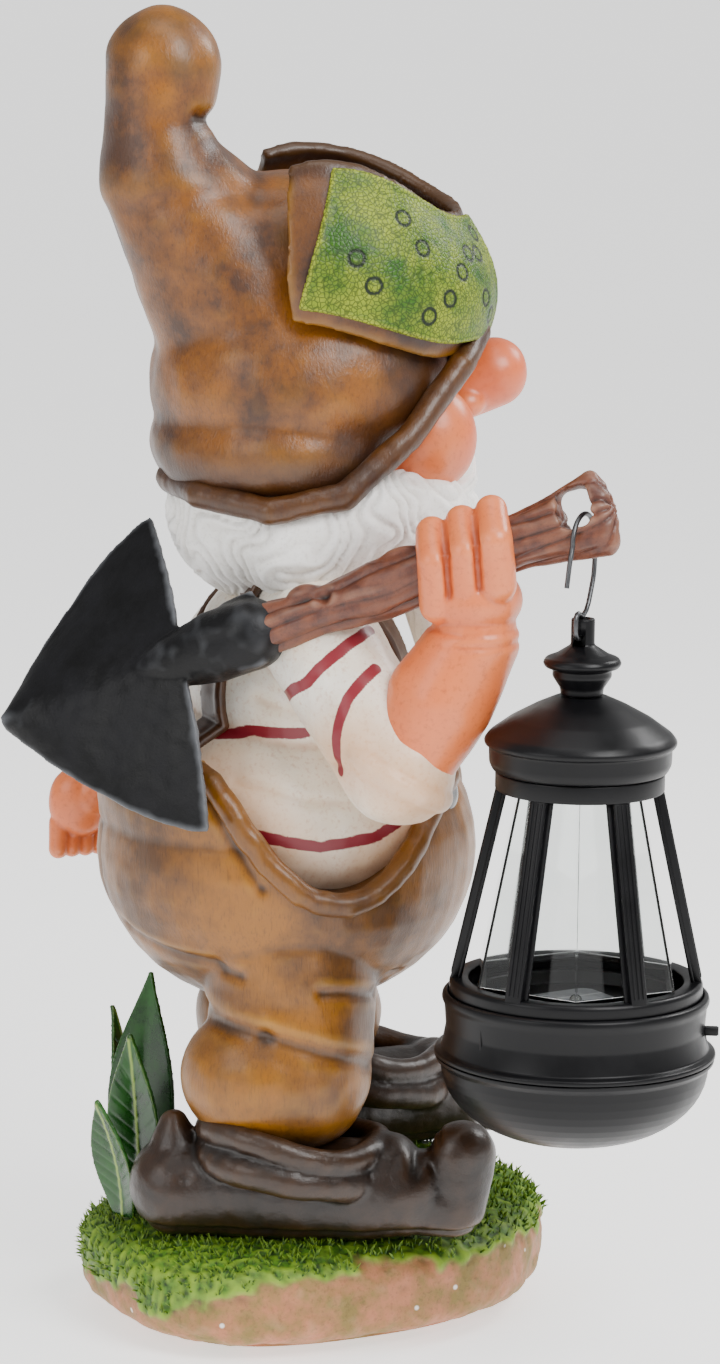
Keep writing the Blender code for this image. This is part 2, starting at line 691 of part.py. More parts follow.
def build_figure():
    """Makes every casting, then cuts each one where a neighbour sits in it."""
    skins = skin_meshes()
    cutters = {name: grown(f"{name}_seat", mesh) for name, mesh in skins.items()}
    cutters["brace_skin"] = grown("brace_skin", skins["shirt_torso"], BRACE_THICKNESS)
    cutters["brace_seat"] = grown("brace_seat", skins["shirt_torso"], BRACE_THICKNESS + GLUE_LINE)
    cutters["upper_hollow"] = add_cutter("upper_hollow", upper_hollow_mesh())
    cutters["lower_hollow"] = add_cutter("lower_hollow", lower_hollow_mesh())
    cutters["above_waist"] = slab_above(waist_height, 0.2, CHEST.z + 0.2, "above_waist")
    cutters["below_brim"] = slab_above(brim_height, 0.2, BASE_TOP, "below_brim")
    cut_flat(skins["shirt_torso"], SEAT.z - 0.020)
    for name, (finish, neighbours) in CASTINGS.items():
        obj = add_object(name, skins[name], finish)
        for neighbour in neighbours:
            boolean(obj, cutters[neighbour])
        settle(obj)
    return cutters


def cuff_point(turn, rise, out=0.0):
    """A point of the turned-up brim: turn is the angle from the brow, rise goes from its foot to its edge."""
    bulge = 0.0105 * math.sin(math.pi * min(1.0, rise * 0.95 + 0.05))
    half_x = HAT_CROWN_RADIUS * (0.985 - 0.28 * rise) + bulge + out
    half_y = HAT_CROWN_RADIUS * (1.040 - 0.085 * rise) + bulge + out
    side = abs(math.sin(turn))
    foot = 0.043 + 0.018 * smoothstep(0.8, 1.9, abs(turn))
    edge = 0.104 + 0.024 * side**2
    return HEAD + Vector(
        (
            half_x * math.sin(turn),
            0.003 - half_y * math.cos(turn),
            foot + (edge - foot) * rise,
        )
    )


def build_hat_trim(cutters):
    """The turned-up front of the brim and the patch sewn on its right side."""
    cuff = add_object(
        "hat_brim",
        sheet(lambda s, t: cuff_point((s * 2 - 1) * CUFF_TURN, t), 22, 6, "hat_brim"),
        "leather_brown",
    )
    face_outwards(cuff.data, HEAD + Vector((0, 0, 0.07)))
    thick(cuff, CUFF_WALL, -1)
    boolean(cuff, cutters["hat"])
    settle(cuff)

    def patch_point(s, t):
        turn = -math.radians(14) - s * math.radians(78 + 14 * (1 - t))
        return cuff_point(turn, 0.10 + 0.88 * t, out=GLUE_LINE + 0.0002)

    patch = add_object("hat_patch", sheet(patch_point, 12, 5, "hat_patch"), "green")
    face_outwards(patch.data, HEAD + Vector((0, 0, 0.07)))
    thick(patch, PATCH_THICKNESS, 1)
    boolean(patch, cutters["hat"])
    settle(patch)


def face_outwards(mesh, centre):
    """Turns an open sheet so that its faces look away from centre."""
    bm = bmesh.new()
    bm.from_mesh(mesh)
    bm.normal_update()
    outward = sum(face.normal.dot(face.calc_center_median() - centre) for face in bm.faces)
    if outward < 0:
        bmesh.ops.reverse_faces(bm, faces=bm.faces)
    bm.to_mesh(mesh)
    bm.free()


def slab_of(mesh, planes, name):
    """What is left of a closed skin behind every (point, normal) plane, with the cuts filled."""
    bm = bmesh.new()
    bm.from_mesh(mesh)
    for point, normal in planes:
        geom = list(bm.verts) + list(bm.edges) + list(bm.faces)
        cut = bmesh.ops.bisect_plane(bm, geom=geom, plane_co=point, plane_no=normal, clear_outer=True)
        edges = [item for item in cut["geom_cut"] if isinstance(item, bmesh.types.BMEdge)]
        bmesh.ops.holes_fill(bm, edges=edges)
    bmesh.ops.triangulate(bm, faces=bm.faces)
    bmesh.ops.recalc_face_normals(bm, faces=bm.faces)
    return mesh_from(bm, name)


def build_braces(cutters):
    """The braces that hold the trousers up: a strap in front and one behind, on each side."""
    low = SEAT.z + WAIST_RISE - 0.004
    neighbours = ["shirt_torso", "trousers", "head", "hair_beard"]
    neighbours += ["left_sleeve", "right_sleeve", "right_forearm", "spade_handle"]
    for side, offset in (("right", -BRACE_OFFSET), ("left", BRACE_OFFSET)):
        for end, facing in (("front", -1), ("back", 1)):
            name = f"brace_{end}_{side}"
            planes = [
                (Vector((offset - BRACE_WIDTH / 2, 0, 0)), Vector((-1, 0, 0))),
                (Vector((offset + BRACE_WIDTH / 2, 0, 0)), Vector((1, 0, 0))),
                (Vector((0, 0, low)), Vector((0, 0, -1))),
                (Vector((0, CHEST.y, 0)), Vector((0, -facing, 0))),
            ]
            strap = add_object(name, slab_of(cutters["brace_skin"].data, planes, name), "leather_brown")
            for neighbour in neighbours:
                # The exact solver loses these thin shells where their skin runs beside the cutter's.
                boolean(strap, cutters[neighbour], solver="MANIFOLD")
            settle(strap)


def build_buttons(cutters):
    for name, side in (("right", -1), ("left", 1)):
        turn = math.radians(33) * side
        outward = Vector((math.sin(turn), -math.cos(turn), 0.12)).normalized()
        reach = Vector((SEAT_HALF.x * 0.90, SEAT_HALF.y * 0.93, 0))
        place = SEAT + Vector((outward.x * reach.x, outward.y * reach.y, 0.030))
        clay = []
        spin = outward.to_track_quat("Z", "Y").to_matrix().to_4x4()
        dab(clay, place, (BUTTON_RADIUS, BUTTON_RADIUS, 0.0034), spin)
        button = add_object(f"button_{name}", clay_mesh(clay, f"button_{name}"), "iron_black")
        boolean(button, cutters["trousers"])
        settle(button)


def build_leaves(cutters):
    """A clump of broad pointed leaves that grows behind the heels."""
    leaves = [
        # root x, root y, turn of the blade, lean, height, width
        (0.016, 0.072, math.radians(236), -0.010, 0.106, 0.036),
        (0.002, 0.076, math.radians(228), 0.008, 0.084, 0.030),
        (0.036, 0.070, math.radians(150), 0.014, 0.086, 0.028),
        (-0.012, 0.086, math.radians(214), 0.016, 0.058, 0.026),
    ]
    for index, (x, y, turn, lean, height, width) in enumerate(leaves):
        root = Vector((x, y, BASE_TOP + GLUE_LINE))
        outward = Vector((math.sin(turn), -math.cos(turn), 0))
        across = Vector((outward.y, -outward.x, 0))

        def leaf_point(s, t, root=root, outward=outward, across=across, size=(lean, height, width)):
            lean, height, width = size
            belly = 0.30 + 0.70 * math.sin(math.pi * (0.12 + 0.80 * t)) ** 1.1
            half = width / 2 * belly * (1 - 0.88 * t**4)
            bow = lean * t**2 + 0.004 * abs(2 * s - 1) * math.sin(math.pi * t)
            return root + across * (2 * s - 1) * half + outward * bow + Vector((0, 0, height * t))

        mesh = sheet(leaf_point, 4, 7, f"leaf_{index + 1}")
        leaf = add_object(f"leaf_{index + 1}", mesh, "green")
        face_outwards(leaf.data, root - outward)
        thick(leaf, 0.0026, -1)
        boolean(leaf, cutters["trousers"])
        boolean(leaf, cutters["right_shoe"])
        boolean(leaf, cutters["left_shoe"])
        settle(leaf)


# ---------------------------------------------------------------- the spade
def spade_matrix():
    """The spade's own axes in the row frame: x along the handle, y across and up, z out of its face."""
    level = Vector((-math.cos(SPADE_YAW), math.sin(SPADE_YAW), 0))
    upright = level.cross(HANDLE_DIRECTION).normalized()
    if upright.z < 0:
        upright = -upright
    normal = (level * math.cos(SPADE_ROLL) + upright * math.sin(SPADE_ROLL)).normalized()
    across = normal.cross(HANDLE_DIRECTION).normalized()
    if across.z < 0:
        across = -across
    return normal, across


def spade_frame(origin, twist=0.0):
    matrix = Matrix((HANDLE_DIRECTION, SPADE_ACROSS, SPADE_NORMAL)).transposed().to_4x4()
    matrix = matrix @ Matrix.Rotation(twist, 4, "X")
    matrix.translation = origin
    return matrix


def handle_mesh():
    """A knotty stick that flares to a flat grip with a hole right through it."""
    clay = []
    stick = [
        (0.004, 0.000, 0.0105),
        (0.020, 0.000, 0.0125),
        (0.055, -0.001, 0.0100),
        (0.085, 0.000, 0.0135),
        (0.120, 0.000, 0.0122),
        (0.150, 0.000, 0.0120),
    ]
    scale = HANDLE_RADIUS / 0.0118
    reach = SPADE_LENGTH / 0.180
    points = [(Vector((x * reach, y, 0)), radius * scale) for x, y, radius in stick]
    stroke(clay, points)
    flare = 6
    rim = GRIP_THICKNESS / 2
    start = 0.150 * reach
    end = SPADE_LENGTH + GRIP_HOLE_LENGTH / 2 + 0.001
    for step in range(flare + 1):
        share = step / flare
        x = start + (end - start) * share
        half_width = HANDLE_RADIUS + (GRIP_WIDTH / 2 - HANDLE_RADIUS - rim * 0.2) * share**1.2
        half_depth = HANDLE_RADIUS + (rim - HANDLE_RADIUS) * share
        dab(clay, (x, 0, 0), (rim, half_width, half_depth))
    mesh = fuse("handle", clay, 0.0030, 0.08, smoothing=3)
    mesh.transform(spade_frame(NECK))

    hole = bmesh.new()
    bmesh.ops.create_cube(
        hole,
        size=1,
        matrix=spade_frame(NECK)
        @ Matrix.Translation((SPADE_LENGTH, GRIP_HOLE_Y, 0))
        @ Matrix.Diagonal((GRIP_HOLE_LENGTH, GRIP_HOLE_WIDTH, GRIP_THICKNESS * 4, 1)),
    )
    long_edges = [
        edge
        for edge in hole.edges
        if abs((edge.verts[0].co - edge.verts[1].co).normalized().dot(SPADE_NORMAL)) > 0.9
    ]
    bmesh.ops.bevel(
        hole, geom=long_edges, offset=0.005, segments=3, profile=0.5, affect="EDGES", material=-1
    )
    drill = add_cutter("grip_hole", mesh_from(hole, "grip_hole"))
    obj = add_cutter("handle_blank", mesh)
    boolean(obj, drill)
    return evaluated_mesh(obj)


def blade_point(s, t):
    """The blade in spade axes: s goes across it and t from the shoulders to the tip."""
    half = BLADE_HALF_WIDTH * (1 - t**1.35) ** 0.92 + 0.0012
    side = 2 * s - 1
    back = 0.009 + BLADE_LENGTH * t + 0.009 * side**2 * (1 - t)
    dish = 0.013 * side**2 * (1 - 0.5 * t) - 0.0065 * math.exp(-((side * 4.2) ** 2)) * (1 - t) ** 0.7
    return Vector((-back, side * half, -dish))


def build_blade(cutters):
    """Sheet blade with a round socket that the handle is driven into."""
    blade = add_object("spade_blade", sheet(blade_point, 10, 8, "spade_blade"), "iron_black")
    blade.data.transform(spade_frame(NECK, BLADE_TWIST))
    face_outwards(blade.data, NECK - SPADE_NORMAL * 0.2)
    thick(blade, BLADE_THICKNESS, -1)
    socket = []
    stroke(
        socket,
        [
            (Vector((0.022, 0, 0)), 0.0165),
            (Vector((0.006, 0, 0)), 0.0160),
            (Vector((-0.014, 0, -0.001)), 0.0120),
            (Vector((-0.045, 0, -0.0035)), 0.0040),
        ],
    )
    mesh = fuse("socket", socket, 0.0032, 0.08, smoothing=3)
    mouth = bmesh.new()
    mouth.from_mesh(mesh)
    geom = list(mouth.verts) + list(mouth.edges) + list(mouth.faces)
    cut = bmesh.ops.bisect_plane(
        mouth, geom=geom, plane_co=(0.024, 0, 0), plane_no=(1, 0, 0), clear_outer=True
    )
    edges = [item for item in cut["geom_cut"] if isinstance(item, bmesh.types.BMEdge)]
    bmesh.ops.holes_fill(mouth, edges=edges)
    mouth.to_mesh(mesh)
    mouth.free()
    mesh.transform(spade_frame(NECK, BLADE_TWIST))
    collar = add_cutter("socket", mesh)
    boolean(blade, collar, "UNION")
    for name in ("spade_handle", "brace_seat", "hair_beard", "trousers", "hat", "right_sleeve"):
        boolean(blade, cutters[name])
    settle(blade)


# ---------------------------------------------------------------- the hook
def hook_points():
    """Centre line of the S-shaped wire, in its own plane: h runs away from the near side, z is up.
    z is counted from the wire's seat on the grip."""
    upper = HOOK_UPPER_RADIUS
    lower = HOOK_LOWER_RADIUS
    points = [Vector((-upper - 0.0060, 0, -GRIP_LOWER_RIM - 0.006)), Vector((-upper - 0.0020, 0, -0.010))]
    arc_top = HOOK_SEAT
    for step in range(9):
        angle = math.pi - step * math.pi / 8
        points.append(Vector((upper * math.cos(angle), 0, arc_top - upper + upper * math.sin(angle))))
    points.append(Vector((upper, 0, -GRIP_LOWER_RIM - 0.001)))
    drop = HOOK_DROP
    points.append(Vector((upper * 0.80, 0, -GRIP_LOWER_RIM - 0.009)))
    points.append(Vector((0.0, 0, drop * 0.5 - (GRIP_LOWER_RIM + 0.012) * 0.5)))
    points.append(Vector((-lower * 1.6, 0, drop + 0.011)))
    for step in range(9):
        angle = math.pi + step * math.pi / 8
        points.append(
            Vector((-lower + lower * math.cos(angle), 0, drop + lower + lower * math.sin(angle)))
        )
    points.append(Vector((0.0, 0, drop + lower + 0.0065)))
    return points


def wire(name, points, radius, finish, parent, resolution=2):
    """A tube with closed ends along a list of points."""
    curve = bpy.data.curves.new(name, "CURVE")
    curve.dimensions = "3D"
    curve.bevel_depth = radius
    curve.bevel_resolution = resolution
    curve.use_fill_caps = True
    spline = curve.splines.new("POLY")
    spline.points.add(len(points) - 1)
    for slot, point in zip(spline.points, points):
        slot.co = (*point, 1)
    return add_object(name, curve, finish, parent)


# ---------------------------------------------------------------- the lantern
def turned(name, profile, finish, steps=LATHE_STEPS, parent=None):
    """A lathe part from (radius, height) points that run down its outer side."""
    bm = bmesh.new()
    verts = [bm.verts.new((radius, 0, height)) for radius, height in profile]
    closed = profile[0][0] > 0.0001 or profile[-1][0] > 0.0001
    pairs = list(zip(verts, verts[1:]))
    if closed:
        pairs.append((verts[-1], verts[0]))
    for first, second in pairs:
        bm.edges.new((first, second))
    mesh = mesh_from(bm, name)
    if finish:
        obj = add_object(name, mesh, finish, parent)
    else:
        obj = add_cutter(name, mesh, parent)
    screw = obj.modifiers.new("Turn", "SCREW")
    screw.axis = "Z"
    screw.steps = steps
    screw.render_steps = steps
    screw.use_merge_vertices = True
    screw.merge_threshold = 0.00005
    return obj


def box(name, size, centre, finish, parent=None, turn=0.0, bevel=0.0):
    bm = bmesh.new()
    matrix = Matrix.Rotation(turn, 4, "Z") @ Matrix.Translation(centre) @ Matrix.Diagonal((*size, 1))
    bmesh.ops.create_cube(bm, size=1, matrix=matrix)
    if bevel:
        bmesh.ops.bevel(
            bm, geom=list(bm.edges), offset=bevel, segments=1, profile=0.5, affect="EDGES", material=-1
        )
    mesh = mesh_from(bm, name)
    if finish:
        return add_object(name, mesh, finish, parent)
    return add_cutter(name, mesh, parent)


# Levels of the lantern, counted up from the bottom of the bowl.
BEAD_Z = BOWL_DEPTH
RIM_Z = BEAD_Z + HOUSING_HEIGHT
DECK_Z = RIM_Z - 0.006
CAGE_BASE_Z = RIM_Z + CLEARANCE
POST_FOOT_Z = CAGE_BASE_Z + 0.007
POST_TOP_Z = POST_FOOT_Z + CAGE_HEIGHT
CAGE_TOP_Z = POST_TOP_Z + 0.008
ROOF_Z = CAGE_TOP_Z + CLEARANCE
EAVE_Z = ROOF_Z + 0.014
PEAK_Z = EAVE_Z + 0.019
TUBE_FOOT_Z = PEAK_Z + 0.0225
HANG_Z = TUBE_FOOT_Z + 0.0042
TUBE_TOP_Z = TUBE_FOOT_Z + 0.0115
HOUSING_RADIUS = LANTERN_RADIUS - 0.0028
CAGE_RADIUS = LANTERN_RADIUS - 0.0062
CAGE_TOP_RADIUS = ROOF_RADIUS - 0.0052
HOUSING_BORE = HOUSING_RADIUS - SHELL
COLLAR_RADIUS = HOUSING_BORE * math.cos(FLAT_TURN / 2) - CLEARANCE * 2
GROOVE_RADIUS = HOUSING_BORE + 0.0012
LUG_Z = BEAD_Z + 0.0050
SWITCH_Z = (BEAD_Z + RIM_Z) / 2 - 0.0010
BOARD_Z = DECK_Z - SHELL - 0.0052
SCREW_CIRCLE = CAGE_RADIUS - 0.0066
CAGE_SCREW_SEAT_Z = DECK_Z - 0.0047
CAGE_SCREW_TIP_Z = RIM_Z + 0.0050
BAR_RADIUS = (TUBE_RADIUS + TUBE_BORE) / 2
TILT = math.atan2(BAR_RADIUS, BALANCE_DEPTH)


def lantern_empties():
    """The lantern turns about the bar of its top tube, so everything hangs from an empty there."""
    bar = bpy.data.objects.new("lantern_pivot", None)
    PARTS.objects.link(bar)
    bar.rotation_mode = "QUATERNION"
    turn = Matrix.Rotation(-HOOK_TURN, 3, "Z") @ Matrix.Rotation(TILT, 3, "Y")
    bar.rotation_quaternion = turn.to_quaternion()
    bar.location = LANTERN_PIVOT
    stem = bpy.data.objects.new("lantern_axis", None)
    PARTS.objects.link(stem)
    stem.parent = bar
    stem.location = (BAR_RADIUS, 0, -HANG_Z)
    return stem


def build_finial(stem):
    """The cap of the lantern: a stepped cone under an open tube. The tube's rim is the bar that hangs."""
    screw_bore = SCREW_RADIUS + 0.0001
    profile = [
        (TUBE_BORE, TUBE_TOP_Z),
        (TUBE_RADIUS, TUBE_TOP_Z),
        (TUBE_RADIUS, TUBE_FOOT_Z),
        (0.0118, TUBE_FOOT_Z - 0.0042),
        (0.0160, TUBE_FOOT_Z - 0.0058),
        (0.0172, TUBE_FOOT_Z - 0.0080),
        (0.0160, TUBE_FOOT_Z - 0.0100),
        (0.0128, TUBE_FOOT_Z - 0.0108),
        (0.0130, TUBE_FOOT_Z - 0.0138),
        (0.0096, TUBE_FOOT_Z - 0.0190),
        (0.0092, PEAK_Z + CLEARANCE),
        (0.0, PEAK_Z + CLEARANCE),
        (0.0, TUBE_FOOT_Z - 0.0020),
        (TUBE_BORE, TUBE_FOOT_Z - 0.0010),
    ]
    finial = turned("finial", profile, "black_plastic", 16, stem)
    window = box(
        "tube_window",
        (TUBE_RADIUS * 2, 0.0060, HANG_Z - TUBE_FOOT_Z + 0.0014),
        (-TUBE_RADIUS - 0.0006, 0, (HANG_Z + TUBE_FOOT_Z) / 2),
        None,
        stem,
    )
    boolean(finial, window)
    screw_hole = [
        (0.0, PEAK_Z + 0.0080),
        (screw_bore, PEAK_Z + 0.0080),
        (screw_bore, PEAK_Z - 0.0020),
        (0.0, PEAK_Z - 0.0020),
    ]
    boolean(finial, turned("finial_screw_hole", screw_hole, None, 16, stem))


def build_roof(stem):
    profile = [
        (SCREW_RADIUS + 0.0004, PEAK_Z),
        (0.0110, PEAK_Z),
        (0.0200, PEAK_Z - 0.0040),
        (0.0310, PEAK_Z - 0.0100),
        (0.0400, PEAK_Z - 0.0165),
        (ROOF_RADIUS, EAVE_Z - 0.0005),
        (ROOF_RADIUS - 0.0005, EAVE_Z - 0.0025),
        (ROOF_RADIUS - 0.0022, EAVE_Z - 0.0032),
        (ROOF_RADIUS - 0.0024, ROOF_Z + 0.0035),
        (ROOF_RADIUS - 0.0042, ROOF_Z),
        (ROOF_RADIUS - 0.0080, ROOF_Z),
        (ROOF_RADIUS - 0.0070, EAVE_Z - 0.0040),
        (0.0310 - SHELL, PEAK_Z - 0.0100 - SHELL),
        (0.0110, PEAK_Z - SHELL),
        (SCREW_RADIUS + 0.0004, PEAK_Z - SHELL),
    ]
    turned("roof", profile, "black_plastic", LATHE_STEPS, stem)


def build_screw(name, place, length, parent):
    """A pan-head self-tapping screw that is driven upwards, so its head is at the bottom."""
    head = SCREW_RADIUS * 2.0
    levels = [(0, length), (SCREW_RADIUS, length - 0.001), (SCREW_RADIUS, 0)]
    levels += [(head, 0), (head, -0.0009), (head * 0.7, -0.0015), (0, -0.0015)]
    obj = turned(name, levels, "steel", 10, parent)
    obj.location = place


def build_cage(stem):
    """Two rings and six slanting posts, moulded as one frame."""
    ring = [
        (CAGE_RADIUS - 0.0090, POST_FOOT_Z),
        (CAGE_RADIUS - 0.0012, POST_FOOT_Z),
        (CAGE_RADIUS, POST_FOOT_Z - 0.0015),
        (CAGE_RADIUS, CAGE_BASE_Z),
        (CAGE_RADIUS - 0.0090, CAGE_BASE_Z),
    ]
    cage = turned("cage", ring, "black_plastic", LATHE_STEPS, stem)
    top = [
        (CAGE_TOP_RADIUS - 0.0075, CAGE_TOP_Z),
        (CAGE_TOP_RADIUS, CAGE_TOP_Z),
        (CAGE_TOP_RADIUS, POST_TOP_Z),
        (CAGE_TOP_RADIUS - 0.0075, POST_TOP_Z),
    ]
    boolean(cage, turned("cage_top_ring", top, None, LATHE_STEPS, stem), "UNION")
    foot = CAGE_RADIUS - 0.0032
    head = CAGE_TOP_RADIUS - 0.0032
    for index in range(POST_COUNT):
        angle = POST_PHASE + index * math.tau / POST_COUNT
        bm = bmesh.new()
        bmesh.ops.create_cube(bm, size=1)
        for vert in bm.verts:
            at_top = vert.co.z > 0
            radius = (head if at_top else foot) + vert.co.x * POST_DEPTH
            level = POST_TOP_Z + 0.002 if at_top else POST_FOOT_Z - 0.002
            vert.co = (radius, vert.co.y * POST_WIDTH, level)
        bmesh.ops.transform(bm, matrix=Matrix.Rotation(angle, 4, "Z"), verts=bm.verts)
        post = add_cutter(f"cage_post_{index + 1}", mesh_from(bm, "post"), stem)
        boolean(cage, post, "UNION")


def build_glazing(stem):
    """A clear six-sided cup that tapers upwards just inside the posts."""
    foot = CAGE_RADIUS - 0.0032 - POST_DEPTH / 2 - CLEARANCE * 2
    head = CAGE_TOP_RADIUS - 0.0032 - POST_DEPTH / 2 - CLEARANCE * 2
    bottom = POST_FOOT_Z + CLEARANCE
    top = POST_TOP_Z - CLEARANCE

    def hexagon(name, foot_radius, head_radius, low, high):
        bm = bmesh.new()
        bmesh.ops.create_cone(
            bm,
            cap_ends=True,
            segments=POST_COUNT,
            radius1=foot_radius,
            radius2=head_radius,
            depth=high - low,
            matrix=Matrix.Translation((0, 0, (low + high) / 2)) @ Matrix.Rotation(POST_PHASE, 4, "Z"),
        )
        return mesh_from(bm, name)

    glazing = add_object("glazing", hexagon("glazing", foot, head, bottom, top), "clear_plastic", stem)
    inner = hexagon(
        "glazing_inside",
        foot - PANE_THICKNESS * 1.16,
        head - PANE_THICKNESS * 1.16,
        bottom - 0.001,
        top + 0.001,
    )
    boolean(glazing, add_cutter("glazing_inside", inner, stem))


def build_housing(stem):
    """The drum under the cage, with the deck that carries the solar cell."""
    radius = HOUSING_RADIUS
    deck_edge = CAGE_RADIUS - 0.0120
    profile = [
        (LED_RADIUS + 0.0012, DECK_Z),
        (deck_edge, DECK_Z),
        (deck_edge + 0.0010, RIM_Z),
        (CAGE_RADIUS + CLEARANCE, RIM_Z),
        (radius - 0.0015, RIM_Z + 0.0005),
        (radius - 0.0004, RIM_Z - 0.0018),
        (radius - 0.0012, RIM_Z - 0.0042),
        (radius, BEAD_Z + 0.0030),
        (LANTERN_RADIUS, BEAD_Z + 0.0016),
        (LANTERN_RADIUS, BEAD_Z + CLEARANCE),
        (HOUSING_BORE, BEAD_Z + CLEARANCE),
        (HOUSING_BORE, BEAD_Z + COLLAR_HEIGHT + 0.0012),
        (HOUSING_BORE - 0.0010, DECK_Z - 0.0050),
        (deck_edge - 0.0040, DECK_Z - SHELL),
        (LED_RADIUS + 0.0012, DECK_Z - SHELL),
    ]
    housing = turned("housing", profile, "black_plastic", LATHE_STEPS, stem)
    slot = box(
        "switch_slot",
        (0.012, SWITCH_TRAVEL + 0.0066, 0.0046),
        (radius - 0.0005, 0, SWITCH_Z),
        None,
        stem,
        turn=SWITCH_ANGLE,
    )
    boolean(housing, slot)
    cut_bayonet(housing, stem)
    for index in range(3):
        angle = SCREW_PHASE + index * math.tau / 3
        place = Vector((math.cos(angle), math.sin(angle), 0)) * SCREW_CIRCLE
        hole = turned(
            f"cage_screw_hole_{index + 1}",
            [(0.0, CAGE_SCREW_TIP_Z + CLEARANCE), (SCREW_RADIUS + 0.0002, CAGE_SCREW_TIP_Z + CLEARANCE)]
            + [(SCREW_RADIUS + 0.0002, CAGE_SCREW_SEAT_Z - 0.004), (0.0, CAGE_SCREW_SEAT_Z - 0.004)],
            None,
            12,
            stem,
        )
        hole.location = place
        boolean(housing, hole)
        boolean(bpy.data.objects["cage"], hole)


def cut_bayonet(housing, stem):
    """A groove inside the drum for the bowl's lugs, and the notches that they come in by."""
    gap = CLEARANCE
    low = LUG_Z - LUG_SIZE.z / 2 - gap
    high = LUG_Z + LUG_SIZE.z / 2 + gap
    ring = [
        (HOUSING_BORE - 0.0040, high),
        (GROOVE_RADIUS, high),
        (GROOVE_RADIUS, low),
        (HOUSING_BORE - 0.0040, low),
    ]
    boolean(housing, turned("lug_groove", ring, None, LATHE_STEPS, stem))
    for index in range(LUG_COUNT):
        angle = LUG_PHASE + TWIST + index * math.tau / LUG_COUNT
        notch = box(
            f"lug_notch_{index + 1}",
            (0.0050, LUG_SIZE.y + 4 * gap, high - BEAD_Z + 0.0040),
            (GROOVE_RADIUS - 0.0026, 0, (high + BEAD_Z - 0.0042) / 2),
            None,
            stem,
            turn=angle,
        )
        boolean(housing, notch)


def build_bowl(stem):
    """The bottom bowl, which turns a little and then drops off. Three lugs hold it under three ledges."""
    collar = COLLAR_RADIUS
    profile = [
        (collar - SHELL, BEAD_Z + COLLAR_HEIGHT),
        (collar, BEAD_Z + COLLAR_HEIGHT),
        (collar, BEAD_Z - 0.0002),
        (LANTERN_RADIUS - 0.0004, BEAD_Z - 0.0002),
        (LANTERN_RADIUS - 0.0030, BEAD_Z - 0.0040),
    ]
    turns = 6
    for step in range(1, turns + 1):
        angle = step * math.pi / 2 / turns
        profile.append(
            (
                (LANTERN_RADIUS - 0.0030) * math.cos(angle) ** 0.85 if step < turns else 0.0,
                (BEAD_Z - 0.0040) * (1 - math.sin(angle)),
            )
        )
    for step in range(turns, 0, -1):
        angle = step * math.pi / 2 / turns
        inner = (LANTERN_RADIUS - 0.0030 - SHELL) * math.cos(angle) ** 0.85 if step < turns else 0.0
        profile.append((inner, SHELL + (BEAD_Z - 0.0040 - SHELL) * (1 - math.sin(angle))))
    profile.append((LANTERN_RADIUS - 0.0030 - SHELL, BEAD_Z - 0.0040))
    profile.append((collar - SHELL, BEAD_Z - 0.0020))
    bowl = turned("bottom_bowl", profile, "black_plastic", LATHE_STEPS, stem)
    for index in range(LUG_COUNT):
        angle = LUG_PHASE + index * math.tau / LUG_COUNT
        place = (collar + LUG_REACH - LUG_SIZE.x / 2, 0, LUG_Z)
        boolean(bowl, box(f"lug_{index + 1}", LUG_SIZE, place, None, stem, turn=angle), "UNION")


